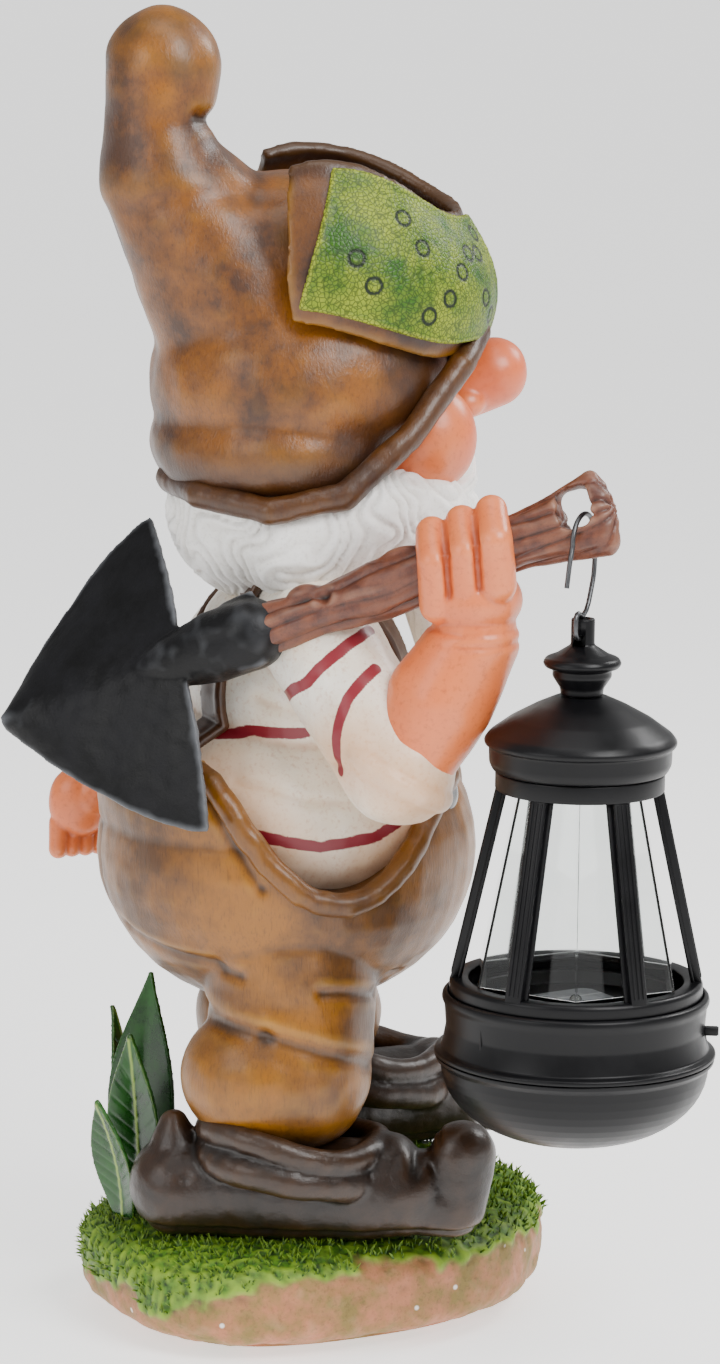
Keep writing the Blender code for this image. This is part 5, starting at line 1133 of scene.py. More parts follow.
scaled = add(tree, "Mix", {0: gap.outputs[0], 6: under, 7: colour("#1a2e08")}, data_type="RGBA")
tree.links.new(scaled.outputs[2], shader.inputs["Base Color"])
paint_over(tree, shader, "ring", "#0e1c05", 0.2, 0.9)
scale_bump = add(tree, "Bump", {"Height": scales.outputs["Distance"], "Strength": 0.7, "Distance": 0.0006,
                                "Normal": shader.inputs["Normal"].links[0].from_socket})
tree.links.new(scale_bump.outputs[0], shader.inputs["Normal"])
piece("snakeskin_patch", patch, snake_paint, ["hat_patch"])

# %% [markdown]
# ## Shoes
# Long soft leather shoes with turned-up toes. Rolled folds lie round the ankle, a pointed flap stands up
# behind the heel, and the vamp bulges over a deep crease. Fine wrinkles come from the material's bump.


# %% Shoes
def shoe(name, calf, toe_way, length, toe_lift, lift=0.0):
    forward = Vector((*toe_way, 0)).normalized()
    side = Vector((forward.y, -forward.x, 0))
    up = Vector((0, 0, 1))
    sole = Vector((calf.x, calf.y, GROUND + lift))
    heel = sole - forward * 0.053
    vamp = sole + forward * (length * 0.24) + up * 0.029
    ball = sole + forward * (length * 0.42) + up * 0.016
    toe = sole + forward * (length * 0.44) + up * toe_lift
    clay = []
    middle = sole + forward * (length * 0.28) + up * 0.023
    stroke(clay, [(heel + up * 0.022, 0.0230), (sole + up * 0.021, 0.0240), (middle, 0.0225)])
    dab(clay, vamp, 0.0195)
    stroke(clay, [(vamp - up * 0.008, 0.0190), (ball, 0.0150), (toe, 0.0152)])
    stroke(clay, [(heel + up * 0.022, 0.020), (heel - forward * 0.002 + up * 0.050, 0.0070)])
    rolls = [[], []]
    for index in range(33):
        angle = index * math.tau / 32
        out = Vector((math.cos(angle) * CALF_HALF.x, math.sin(angle) * CALF_HALF.y, 0))
        wave = 0.0022 * math.sin(3 * angle + 0.7)
        level = 0.047 + 0.006 * out.normalized().dot(-forward) + wave
        rolls[0].append((sole + out * 0.88 + up * level, 0.0062))
        rolls[1].append((sole + out * 0.86 + up * (level - 0.0125 - wave), 0.0080))
    for roll in rolls:
        stroke(clay, roll)
    mesh = fused(name, clay, 1.3 * MM, 4)
    spots = coordinates(mesh)
    heights = noise_at(spots, 0.020, 51) * 0.0010 + noise_at(spots, 0.006, 52) * 0.0003
    bend = sole + forward * (length * 0.335)
    folds = [
        ([bend + side * w + up * (0.046 - 22 * w * w) for w in np.linspace(-0.022, 0.022, 9)], 4.0, 4.0),
        (
            [
                bend - forward * 0.012 + side * w + up * (0.052 - 16 * w * w)
                for w in np.linspace(-0.02, 0.02, 9)
            ],
            2.0, 1.2,
        ),
        (
            [
                heel + side * w + forward * (0.010 - 12 * w * w) + up * 0.030
                for w in np.linspace(-0.02, 0.02, 7)
            ],
            2.4, 1.2,
        ),
        (
            [
                toe - forward * 0.010 + side * w + up * (0.010 - 20 * w * w)
                for w in np.linspace(-0.015, 0.015, 7)
            ],
            1.8, 0.9,
        ),
    ]
    for line, width, depth in folds:
        heights += groove(spots, line, width * MM, depth * MM)
    heights -= 0.0012 * np.exp(-(((spots[:, 2] - sole.z - 0.006) / 0.0014) ** 2))
    press(mesh, heights)
    spots = coordinates(mesh)
    spots[:, 2] = np.maximum(spots[:, 2], sole.z - 0.001)
    place(mesh, spots)
    mark_hollows(mesh, 12)
    return mesh


# Wrinkles 1 to 2 mm apart would be too close to show, so these are drawn 5 mm apart.
LEATHER_CELL_MM = 5.0
tree = shoe_paint.node_tree
shader = tree.nodes["Principled BSDF"]
spot = add(tree, "TexCoord").outputs["Object"]
relief = add(
    tree, "TexVoronoi", {"Vector": spot, "Scale": 1000 / LEATHER_CELL_MM}, feature="DISTANCE_TO_EDGE",
)
wrinkles = add(tree, "Bump", {"Height": relief.outputs["Distance"], "Strength": 0.35, "Distance": 0.0005,
                              "Normal": shader.inputs["Normal"].links[0].from_socket})
tree.links.new(wrinkles.outputs[0], shader.inputs["Normal"])
right_shoe = shoe("shoe_right", RIGHT_CALF + Vector((-0.006, 0, 0)), (-0.27, -1), 0.172, 0.040)
piece("shoe_right", right_shoe, shoe_paint, ["right_shoe"])
left_shoe = shoe("shoe_left", LEFT_CALF + Vector((0.004, -0.012, 0)), (0.12, -1), 0.160, 0.040, 0.012)
piece("shoe_left", left_shoe, shoe_paint, ["left_shoe"])

# %% [markdown]
# ## Ground and grass
# The base is a slab of ground with a soft uneven outline. Its top and upper edge are modelled as thick moss
# grass, and the soil shows below. The grass is a raised skin of the same slab, painted green above a ragged
# line, with a few hundred small tufts that share one shape of a few dozen faces.

# %% Ground slab
GROUND_HALF_WIDTH, GROUND_HALF_DEPTH, GROUND_TURN = 0.091, 0.110, math.radians(13)
MOUND_HEIGHT = 0.0125
bm = bmesh.new()
bmesh.ops.create_uvsphere(bm, u_segments=260, v_segments=110, radius=1)
for vert in bm.verts:
    angle = math.atan2(vert.co.y, vert.co.x)
    squared = math.hypot(vert.co.x, vert.co.y) ** 0.45 if vert.co.xy.length > 1e-6 else 0
    lobes = 1 + 0.035 * math.sin(3 * angle + 0.6) + 0.022 * math.sin(5 * angle + 2.1)
    taper = (1 - 0.07 * float(step(0.0, 1.0, -vert.co.z))) * squared * lobes
    rise = GROUND / 2 + math.copysign(abs(vert.co.z) ** 0.42, vert.co.z) * GROUND / 2 * 1.02
    across = GROUND_HALF_WIDTH * taper * math.cos(angle)
    vert.co = Vector((across, -0.004 + GROUND_HALF_DEPTH * taper * math.sin(angle), rise))
bmesh.ops.transform(bm, matrix=Matrix.Rotation(GROUND_TURN, 4, "Z"), verts=bm.verts)
ground = remelted(mesh_of(bm, "ground"), 1.5 * MM, 2)
spots = coordinates(ground)
spots[:, 2] = np.clip(spots[:, 2], 0, GROUND)
place(ground, spots)
ragged = 0.036 + 0.009 * noise_at(spots, 0.032, 61, (1, 1, 0.1)) + 0.006 * noise_at(spots, 0.010, 62)
ragged -= 0.015 * step(0.03, 0.09, spots[:, 1])
grassy = step(-0.002, 0.002, spots[:, 2] - ragged)
soil = noise_at(spots, 0.014, 63) * 0.0012 + noise_at(spots, 0.005, 64) * 0.0005
moss = 0.0014 + noise_at(spots, 0.0035, 65, (1, 1, 0.5)) * 0.0011 + noise_at(spots, 0.012, 66) * 0.0008
edge = np.where(spots[:, 2] < 0.003, 0.0, 1.0)
SOIL_INSET = -1.2 * MM
press(ground, (SOIL_INSET + soil * (1 - grassy) + moss * grassy) * edge)
spots = coordinates(ground)
mound = np.exp(-(((spots[:, 0] - 0.046) / 0.036) ** 2) - ((spots[:, 1] + 0.050) / 0.060) ** 2)
spots[:, 2] += MOUND_HEIGHT * mound * step(0.030, 0.046, spots[:, 2])
spots[:, 2] = np.maximum(spots[:, 2], 0)
place(ground, spots)
store(ground, "grass", grassy)
mark_hollows(ground, 8)
# Painted polyresin, matt: terracotta acrylic with a few pale chips, and mossy green acrylic on top that is
# painted lighter where it stands up, as a highlight.
ground_paint, tree, shader = painted_resin(
    "ground_terracotta_and_moss", "#b5734e", "#867038", "#43361a", "#dcb08c", patch_mm=15, grain_mm=2.0,
    bump_mm=0.5, rough=(0.5, 0.7), coat=0.05,
)
chips = add(tree, "TexVoronoi", {"Vector": add(tree, "TexCoord").outputs["Object"], "Scale": 1000 / 15})
chip = add(tree, "MapRange", {"Value": chips.outputs["Distance"], "From Min": 0.10, "From Max": 0.06})
soil_colour = shader.inputs["Base Color"].links[0].from_socket
chipped = add(tree, "Mix", {0: chip.outputs[0], 6: soil_colour, 7: colour("#efe6dc")}, data_type="RGBA")
blades = add(
    tree, "TexNoise", {"Vector": add(tree, "TexCoord").outputs["Object"], "Scale": 1000 / 3.0, "Detail": 5.0},
)
sunlit = add(tree, "MapRange", {"Value": blades.outputs[0], "From Min": 0.36, "From Max": 0.62})
green = add(tree, "Mix", {0: sunlit.outputs[0], 6: colour("#1d380a"), 7: colour("#4d7a17")}, data_type="RGBA")
# Moss that stands up is painted a lighter green: a painted highlight.
lit = add(tree, "MapRange", {"Value": add(tree, "Attribute", attribute_name="hollow").outputs["Fac"],
                             "From Min": 0.05, "From Max": -0.35})
tips = add(tree, "Mix", {0: lit.outputs[0], 6: green.outputs[2], 7: colour("#7fa022")}, data_type="RGBA")
mask = add(tree, "Attribute", attribute_name="grass").outputs["Fac"]
both = add(tree, "Mix", {0: mask, 6: chipped.outputs[2], 7: tips.outputs[2]}, data_type="RGBA")
tree.links.new(both.outputs[2], shader.inputs["Base Color"])
piece("ground", ground, ground_paint, ["ground_base"])

# %% Grass tufts
random.seed(7)
bm = bmesh.new()
for index in range(6):
    turn = index * math.tau / 6 + 0.3 * index
    lean = Matrix.Rotation(math.radians(16 + 6 * (index % 3)), 4, Vector((math.sin(turn), math.cos(turn), 0)))
    tall = 0.0052 + 0.0012 * (index % 3)
    blade = Matrix.Rotation(turn, 4, "Z") @ lean @ Matrix.Translation((0, 0, tall / 2))
    bmesh.ops.create_cone(bm, segments=4, radius1=0.00085, radius2=0.00012, depth=tall, matrix=blade)
tuft = mesh_of(bm, "tuft")
tuft_heights = coordinates(tuft)[:, 2] / 0.0075
faces = [f for f in ground.polygons if grassy[list(f.vertices)].min() > 0.7 and f.center.z > 0.006]
areas = np.cumsum([f.area for f in faces])
bm = bmesh.new()
TUFT_COUNT = 3400
for index in range(TUFT_COUNT):
    face = faces[int(np.searchsorted(areas, random.random() * areas[-1]))]
    root = Vector(face.center) - Vector(face.normal) * 0.0006
    way = (Vector(face.normal) * 0.8 + Vector((0, 0, 0.8))).normalized()
    size = random.uniform(0.40, 0.72)
    copy = tuft.copy()
    copy.transform(
        Matrix.Translation(root)
        @ way.to_track_quat("Z", "Y").to_matrix().to_4x4()
        @ Matrix.Rotation(random.random() * math.tau, 4, "Z")
        @ Matrix.Diagonal((size, size, size, 1))
    )
    bm.from_mesh(copy)
    bpy.data.meshes.remove(copy)
grass = mesh_of(bm, "grass")
store(grass, "tip", np.tile(tuft_heights, TUFT_COUNT))
# Polyresin grass cast with the base and painted with green acrylic: dark at the root, yellow-green at the tip.
grass_paint, tree, shader = new_material("grass_painted_green", Roughness=0.5)
tip = add(tree, "Attribute", attribute_name="tip").outputs["Fac"]
speck = add(
    tree, "TexNoise", {"Vector": add(tree, "TexCoord").outputs["Object"], "Scale": 1000 / 12, "Detail": 3.0},
)
low = add(tree, "Mix", {0: speck.outputs[0], 6: colour("#1c380a"), 7: colour("#3f6a14")}, data_type="RGBA")
upper = add(tree, "MapRange", {"Value": tip, "From Min": 0.25, "From Max": 0.95})
high = add(tree, "Mix", {0: upper.outputs[0], 6: low.outputs[2], 7: colour("#86a826")}, data_type="RGBA")
tree.links.new(high.outputs[2], shader.inputs["Base Color"])
piece("grass", grass, grass_paint)

# %% [markdown]
# ## Leaves
# Four broad glossy leaves stand behind the heels. Each is a grid that follows its outline, with a raised
# midrib, side veins and a slightly rolled pale rim.

# %% Leaves
# Painted polyresin with a gloss varnish: deep green acrylic with pale veins and rims brushed on by hand.
leaf_paint, tree, shader = painted_resin(
    "leaves_glossy_green", "#0c350a", "#1a5210", "#061804", "#4f8420", patch_mm=14, grain_mm=1.6,
    bump_mm=0.06,
    rough=(0.22, 0.34), coat=0.05,
)
paint_over(tree, shader, "rim", "#a9bd5e", 0.75, 1.6)
paint_over(tree, shader, "rib", "#9db84a", 0.3, 1.2)
LEAVES = [  # root x and y, turn of the blade in degrees, lean, height and width
    (0.016, 0.072, 236, -0.010, 0.106, 0.036),
    (0.002, 0.076, 228, 0.008, 0.084, 0.030),
    (0.036, 0.070, 150, 0.014, 0.086, 0.028),
    (-0.012, 0.086, 214, 0.016, 0.058, 0.026),
]
for number, (x, y, degrees, lean, height, width) in enumerate(LEAVES, 1):
    root = Vector((x, y, GROUND))
    outward = Vector((math.sin(math.radians(degrees)), -math.cos(math.radians(degrees)), 0))
    across = Vector((outward.y, -outward.x, 0))

    def leaf_point(s, t):
        belly = 0.30 + 0.70 * math.sin(math.pi * (0.12 + 0.80 * t)) ** 1.1
        half = width / 2 * belly * (1 - 0.88 * t**4)
        bow = lean * t**2 + 0.004 * abs(2 * s - 1) * math.sin(math.pi * t)
        return root + across * (2 * s - 1) * half + outward * bow + Vector((0, 0, height * t))

    leaf = sheet_of(f"broad_leaf_{number}", 44, 90, leaf_point, 0.0022, -1.0 if number != 3 else 1.0)
    leaf = remelted(leaf, 0.75 * MM, 2)
    spots = coordinates(leaf)
    rib = near(spots, [leaf_point(0.5, t) for t in np.linspace(0, 0.97, 20)])
    sides = [[leaf_point(s, t) for t in np.linspace(0, 1, 24)] for s in (0, 1)]
    rim = np.minimum(near(spots, sides[0]), near(spots, sides[1]))
    veins = np.full(len(spots), 1.0)
    for t in np.linspace(0.12, 0.80, 8):
        for s in (0.06, 0.94):
            veins = np.minimum(veins, near(spots, [leaf_point(0.5, t), leaf_point(s, min(1.0, t + 0.12))]))
    press(leaf, 0.0005 * np.exp(-((rib / 0.0014) ** 2)) - 0.0003 * np.exp(-((veins / 0.0008) ** 2)))
    store(leaf, "rib", np.exp(-((rib / 0.0011) ** 2)))
    store(leaf, "rim", np.exp(-((rim / 0.0012) ** 2)))
    mark_hollows(leaf, 5)
    piece(leaf.name, leaf, leaf_paint, [f"leaf_{number}"])

# %% [markdown]
# ## Spade
# The handle is a knotty stick with bark grain carved along it. It flares to a flat grip with a hole, where
# the wire hook hangs. The hole is cut with a rounded block after the clay is melted, and the skin is melted
# once more so that its edges look worn. The blade is a dished sheet with a round socket.

# %% Handle
clay = []
stick = [(0.004, 0.000, 0.0105), (0.020, 0.000, 0.0125), (0.055, -0.001, 0.0100), (0.085, 0.000, 0.0135)]
stick += [(0.120, 0.000, 0.0122), (0.150, 0.000, 0.0120)]
stroke(clay, [(Vector((x, y, 0)), radius) for x, y, radius in stick])
for flare in range(13):
    share = flare / 12
    x = 0.150 + (SPADE_LENGTH + 0.0085 - 0.150) * share
    half_width = 0.0118 + (0.021 - 0.0118 - 0.0015) * share**1.2
    dab(clay, (x, 0, 0), (0.0075, half_width, 0.0118 - 0.0043 * share))
dab(clay, (0.098, 0.009, 0.002), (0.012, 0.006, 0.006))
dab(clay, (0.052, 0.007, 0.003), (0.009, 0.006, 0.006))
blank = fused("handle", clay, 1.0 * MM, 4)
bm = bmesh.new()
block = Matrix.Translation((SPADE_LENGTH, GRIP_HOLE_Y, 0)) @ Matrix.Diagonal((0.0150, 0.0190, 0.060, 1))
bmesh.ops.create_cube(bm, size=1, matrix=block)
upright = [e for e in bm.edges if abs((e.verts[0].co - e.verts[1].co).normalized().z) > 0.9]
bmesh.ops.bevel(bm, geom=upright, offset=0.005, segments=6, profile=0.5, affect="EDGES", material=-1)
drill = bpy.data.objects.new("drill", mesh_of(bm, "drill"))
bpy.context.scene.collection.objects.link(drill)
handle = evaluated(
    blank, "bark_handle", [("BOOLEAN", {"operation": "DIFFERENCE", "solver": "EXACT", "object": drill})],
)
bpy.data.objects.remove(drill, do_unlink=True)
handle = remelted(handle, 0.9 * MM, 3)
spots = coordinates(handle)
turn = np.arctan2(spots[:, 2], spots[:, 1])
twist = noise_at(spots, 0.040, 71, (0.4, 1, 1)) * 1.3 + noise_at(spots, 0.012, 72, (0.3, 1, 1)) * 0.5
grain = np.abs(np.sin(turn * 4.5 + twist * 2.2 + spots[:, 0] * 14))
heights = 0.0018 * (grain**0.6 - 0.75) + 0.0008 * noise_at(spots, 0.004, 73, (0.25, 1, 1))
knots = [(Vector((0.062, 0.003, 0.0105)), 0.0050, 2.4), (Vector((0.145, -0.004, 0.0118)), 0.0034, 1.6)]
for knot, radius, depth in knots:
    reach = near(spots, [knot])
    heights += 0.0010 * np.exp(
        -(((reach - radius) / 0.0022) ** 2)
    ) - depth * MM * np.exp(-((reach / (radius * 0.7)) ** 2))
press(handle, heights)
handle.transform(spade_frame())
mark_hollows(handle, 10)
piece("bark_handle", handle, bark_paint, ["spade_handle"])


# %% Blade and socket
def blade_point(s, t):
    """The blade in spade axes: s goes across it and t from the shoulders to the tip."""
    half = 0.077 * (1 - t**1.35) ** 0.92 + 0.0012
    side = 2 * s - 1
    back = 0.009 + 0.092 * t + 0.009 * side**2 * (1 - t)
    dish = 0.013 * side**2 * (1 - 0.5 * t) - 0.0050 * math.exp(-((side * 3.0) ** 2)) * (1 - t) ** 1.6
    return Vector((-back, side * half, -dish))


sheet = sheet_of("blade", 130, 90, blade_point, 0.0034, 0.0)
clay = []
socket = [
    ((0.022, 0, 0), 0.0165), ((0.006, 0, 0), 0.0160), ((-0.014, 0, -0.001), 0.0120),
    ((-0.045, 0, -0.0035), 0.0040),
]
stroke(clay, [(Vector(point), radius) for point, radius in socket])
stroke(clay, [(Vector((0.016, 0.012, 0.004)), 0.0050), (Vector((0.028, 0.0160, 0.006)), 0.0018)])
stroke(clay, [(Vector((0.016, -0.012, 0.002)), 0.0050), (Vector((0.026, -0.0160, 0.002)), 0.0018)])
collar = fused("socket", clay, 1.0 * MM, 3)
bm = bmesh.new()
bm.from_mesh(sheet)
bm.from_mesh(collar)
blade = remelted(mesh_of(bm, "iron_blade"), 1.1 * MM, 4)
spots = coordinates(blade)
press(blade, noise_at(spots, 0.022, 75) * 0.0006 + noise_at(spots, 0.006, 76) * 0.0003)
blade.transform(spade_frame(math.radians(-14)))
mark_hollows(blade, 12)
piece("iron_blade", blade, iron_paint, ["spade_blade"])

# %% [markdown]
# ## Wire hook
# The hook is galvanised wire of about 2 mm, bent to an S by hand. It is a curve with a round bevel, whose
# points lie in one plane, turned back a little from straight across the grip.

# %% Hook
upper, lower, drop = 0.0125, 0.0042, -0.0470
line = [Vector((-upper - 0.0060, 0, -0.0225)), Vector((-upper - 0.0020, 0, -0.010))]
for index in range(17):
    angle = math.pi - index * math.pi / 16
    line.append(Vector((upper * math.cos(angle), 0, 0.0070 - upper + upper * math.sin(angle))))
line += [Vector((upper, 0, -0.0175)), Vector((upper * 0.80, 0, -0.0255))]
line += [Vector((0, 0, drop * 0.5 - 0.01425)), Vector((-lower * 1.6, 0, drop + 0.011))]
for index in range(17):
    angle = math.pi + index * math.pi / 16
    line.append(Vector((-lower + lower * math.cos(angle), 0, drop + lower + lower * math.sin(angle))))
line.append(Vector((0.0, 0, drop + lower + 0.0065)))
hook_frame = Matrix.Translation(GRIP_SEAT) @ Matrix.Rotation(math.radians(-35), 4, "Z")
curve = bpy.data.curves.new("s_hook_wire", "CURVE")
curve.dimensions = "3D"
curve.bevel_depth = 0.0011
curve.bevel_resolution = 5
curve.use_fill_caps = True
curve.resolution_u = 4
spline = curve.splines.new("BEZIER")
spline.bezier_points.add(len(line) - 1)
for knot, point in zip(spline.bezier_points, line):
    knot.co = hook_frame @ point
    knot.handle_left_type = knot.handle_right_type = "AUTO"
carrier = bpy.data.objects.new("carrier", curve)
bpy.context.scene.collection.objects.link(carrier)
hook = bpy.data.meshes.new_from_object(carrier.evaluated_get(bpy.context.evaluated_depsgraph_get()))
bpy.data.objects.remove(carrier, do_unlink=True)
hook.name = "s_hook_wire"
# Galvanised steel wire, drawn and gone dull outdoors: dark grey metal with streaks along its length. The draw
# marks of real wire are far below 0.1 mm, so the streaks are drawn 0.8 mm apart.
wire_steel, tree, shader = new_material("galvanised_wire_dulled", Metallic=1.0)
spot = add(tree, "TexCoord").outputs["Object"]
drawn = add(tree, "Mapping", {"Vector": spot, "Scale": (1, 1, 0.15)})
streaks = add(tree, "TexNoise", {"Vector": drawn.outputs[0], "Scale": 1000 / 0.8, "Detail": 4.0})
dull = add(tree, "Mix", {0: streaks.outputs[0], 6: colour("#3c3d3f"), 7: colour("#6f7072")}, data_type="RGBA")
tree.links.new(dull.outputs[2], shader.inputs["Base Color"])
rough = add(tree, "MapRange", {"Value": streaks.outputs[0], "To Min": 0.28, "To Max": 0.48})
tree.links.new(rough.outputs[0], shader.inputs["Roughness"])
piece("s_hook_wire", hook, wire_steel, ["s_hook"], "hook")

# %% [markdown]
# ## Lantern
# The lantern is moulded in black ABS: satin, with a faint moulding grain. Round parts are spun from a profile
# whose corners are first rounded, because every moulded edge has a small radius that catches the light.


# %% Lathe
def rounded(profile, radius=0.0005, closed=True):
    """Replaces each corner of a profile with a short arc."""
    points = [Vector((r, 0, z)) for r, z in profile]
    made = []
    for index, corner in enumerate(points):
        if not closed and index in (0, len(points) - 1):
            made.append(corner)
            continue
        before = points[index - 1] - corner
        after = points[(index + 1) % len(points)] - corner
        first = corner + before.normalized() * min(radius, before.length * 0.4)
        last = corner + after.normalized() * min(radius, after.length * 0.4)
        for share in (0, 1 / 3, 2 / 3, 1):
            made.append(first.lerp(corner, share).lerp(corner.lerp(last, share), share))
    return made


def lathe(name, profile, radius=0.0005, steps=96, finish=True):
    """Spins a profile of (radius, height) points round the lantern's axis."""
    closed = profile[0][0] > 1e-4 or profile[-1][0] > 1e-4
    bm = bmesh.new()
    verts = [bm.verts.new(point) for point in rounded(profile, radius, closed)]
    edges = [bm.edges.new(pair) for pair in zip(verts, verts[1:])]
    if closed:
        edges.append(bm.edges.new((verts[-1], verts[0])))
    bmesh.ops.spin(
        bm, geom=[*verts, *edges], cent=(0, 0, 0), axis=(0, 0, 1), angle=math.tau, steps=steps, use_merge=True
    )
    bmesh.ops.remove_doubles(bm, verts=bm.verts, dist=1e-6)
    bmesh.ops.recalc_face_normals(bm, faces=bm.faces)
    mesh = mesh_of(bm, name)
    if finish:
        mesh.transform(LANTERN)
    return mesh


def block(bm, size, matrix, bevel=0.0004):
    made = bmesh.ops.create_cube(bm, size=1, matrix=matrix @ Matrix.Diagonal((*size, 1)))
    edges = list({edge for vert in made["verts"] for edge in vert.link_edges})
    bmesh.ops.bevel(bm, geom=edges, offset=bevel, segments=3, profile=0.5, affect="EDGES", material=-1)


# %% Lantern levels
BEAD, RIM, DECK, CAGE_BASE = BOWL_DEPTH, 0.066, 0.060, 0.0663
POST_FOOT, POST_TOP, CAGE_TOP = 0.0733, 0.1573, 0.1653
ROOF, EAVE, PEAK, TUBE_FOOT, TUBE_TOP = 0.1656, 0.1796, 0.1986, 0.2211, 0.2326
LANTERN_RADIUS, HOUSING_RADIUS, CAGE_RADIUS = 0.0618, 0.0590, 0.0556
CAGE_TOP_RADIUS, ROOF_RADIUS = 0.0370, 0.0422
POST_TURNS = [math.radians(52.6 + 60 * index) for index in range(6)]
print("lantern height over its bowl:", TUBE_TOP)

# %% Black ABS
# ABS, injection moulded in a lightly textured tool, so it is black with a wide soft highlight. The real grain
# is about 0.1 mm and is drawn at 0.7 mm so that it shows; a faint dusty mottle is 14 mm wide.
black_abs, tree, shader = new_material("abs_black_satin", Specular_IOR_Level=0.24)
spot = add(tree, "TexCoord").outputs["Object"]
mould = add(tree, "TexNoise", {"Vector": spot, "Scale": 1000 / 0.7, "Detail": 3.0})
dust = add(tree, "TexNoise", {"Vector": spot, "Scale": 1000 / 14, "Detail": 5.0, "Roughness": 0.6})
shade = add(tree, "Mix", {0: dust.outputs[0], 6: colour("#050506"), 7: colour("#0c0c0f")}, data_type="RGBA")
tree.links.new(shade.outputs[2], shader.inputs["Base Color"])
satin = add(
    tree, "MapRange",
    {"Value": dust.outputs[0], "From Min": 0.3, "From Max": 0.7, "To Min": 0.30, "To Max": 0.42},
)
tree.links.new(satin.outputs[0], shader.inputs["Roughness"])
grainy = add(tree, "Bump", {"Height": mould.outputs[0], "Strength": 0.25, "Distance": 0.00008})
tree.links.new(grainy.outputs[0], shader.inputs["Normal"])

# %% Finial and roof
finial = lathe(
    "finial",
    [
        (0.0033, TUBE_TOP), (0.0052, TUBE_TOP), (0.0052, TUBE_FOOT), (0.0118, TUBE_FOOT - 0.0042),
        (0.0160, TUBE_FOOT - 0.0058), (0.0172, TUBE_FOOT - 0.0080), (0.0160, TUBE_FOOT - 0.0100),
        (0.0128, TUBE_FOOT - 0.0108), (0.0130, TUBE_FOOT - 0.0138), (0.0096, TUBE_FOOT - 0.0190),
        (0.0092, PEAK + 0.0003), (0.0015, PEAK + 0.0003), (0.0015, TUBE_FOOT - 0.0020),
        (0.0033, TUBE_FOOT - 0.0010),
    ],
    0.0009,
    finish=False,
)
bm = bmesh.new()
block(bm, (0.0104, 0.0060, 0.0056), Matrix.Translation((-0.0058, 0, 0.2232)), 0.0008)
window = bpy.data.objects.new("window", mesh_of(bm, "window"))
bpy.context.scene.collection.objects.link(window)
finial = evaluated(
    finial, "finial_cap", [("BOOLEAN", {"operation": "DIFFERENCE", "solver": "EXACT", "object": window})],
)
bpy.data.objects.remove(window, do_unlink=True)
finial.transform(LANTERN)
piece("finial_cap", finial, black_abs, ["finial"], "lantern")
roof = lathe(
    "roof_shell",
    [
        (0.0017, PEAK), (0.0110, PEAK), (0.0200, PEAK - 0.0040), (0.0310, PEAK - 0.0100),
        (0.0400, PEAK - 0.0165),
        (ROOF_RADIUS, EAVE - 0.0005), (ROOF_RADIUS - 0.0005, EAVE - 0.0025),
        (ROOF_RADIUS - 0.0022, EAVE - 0.0032),
        (ROOF_RADIUS - 0.0024, ROOF + 0.0035), (ROOF_RADIUS - 0.0042, ROOF), (ROOF_RADIUS - 0.0080, ROOF),
        (ROOF_RADIUS - 0.0070, EAVE - 0.0040), (0.0288, PEAK - 0.0122), (0.0110, PEAK - 0.0022),
        (0.0017, PEAK - 0.0022),
    ],
    0.0012,
)
piece("roof_shell", roof, black_abs, ["roof"], "lantern")

# %% Cage
ring = lathe(
    "cage_ring",
    [
        (CAGE_RADIUS - 0.0085, POST_FOOT - 0.0004), (CAGE_RADIUS - 0.0050, POST_FOOT),
        (CAGE_RADIUS - 0.0012, POST_FOOT),
        (CAGE_RADIUS, POST_FOOT - 0.0015), (CAGE_RADIUS, CAGE_BASE), (CAGE_RADIUS - 0.0090, CAGE_BASE),
    ],
    0.0008,
    finish=False,
)
top_ring = lathe(
    "cage_top",
    [
        (CAGE_TOP_RADIUS - 0.0075, CAGE_TOP), (CAGE_TOP_RADIUS, CAGE_TOP), (CAGE_TOP_RADIUS, POST_TOP),
        (CAGE_TOP_RADIUS - 0.0075, POST_TOP),
    ],
    0.0008,
    finish=False,
)
bm = bmesh.new()
bm.from_mesh(ring)
bm.from_mesh(top_ring)
foot, top = CAGE_RADIUS - 0.0032, CAGE_TOP_RADIUS - 0.0032
lean = math.atan2(foot - top, POST_TOP - POST_FOOT)
length = math.hypot(foot - top, POST_TOP - POST_FOOT) + 0.004
for turn in POST_TURNS:
    middle = Matrix.Rotation(turn, 4, "Z") @ Matrix.Translation(
        ((foot + top) / 2, 0, (POST_FOOT + POST_TOP) / 2)
    )
    middle = middle @ Matrix.Rotation(-lean, 4, "Y")
    block(bm, (0.0048, 0.0078, length), middle, 0.0007)
    block(bm, (0.0014, 0.0112, length), middle @ Matrix.Translation((-0.0014, 0, 0)), 0.0004)
    for ridge in (-0.0022, 0, 0.0022):
        block(bm, (0.0006, 0.0009, length * 0.93), middle @ Matrix.Translation((0.0025, ridge, 0)), 0.0002)
cage = mesh_of(bm, "cage_frame")
cage.transform(LANTERN)
piece("cage_frame", cage, black_abs, ["cage"], "lantern")


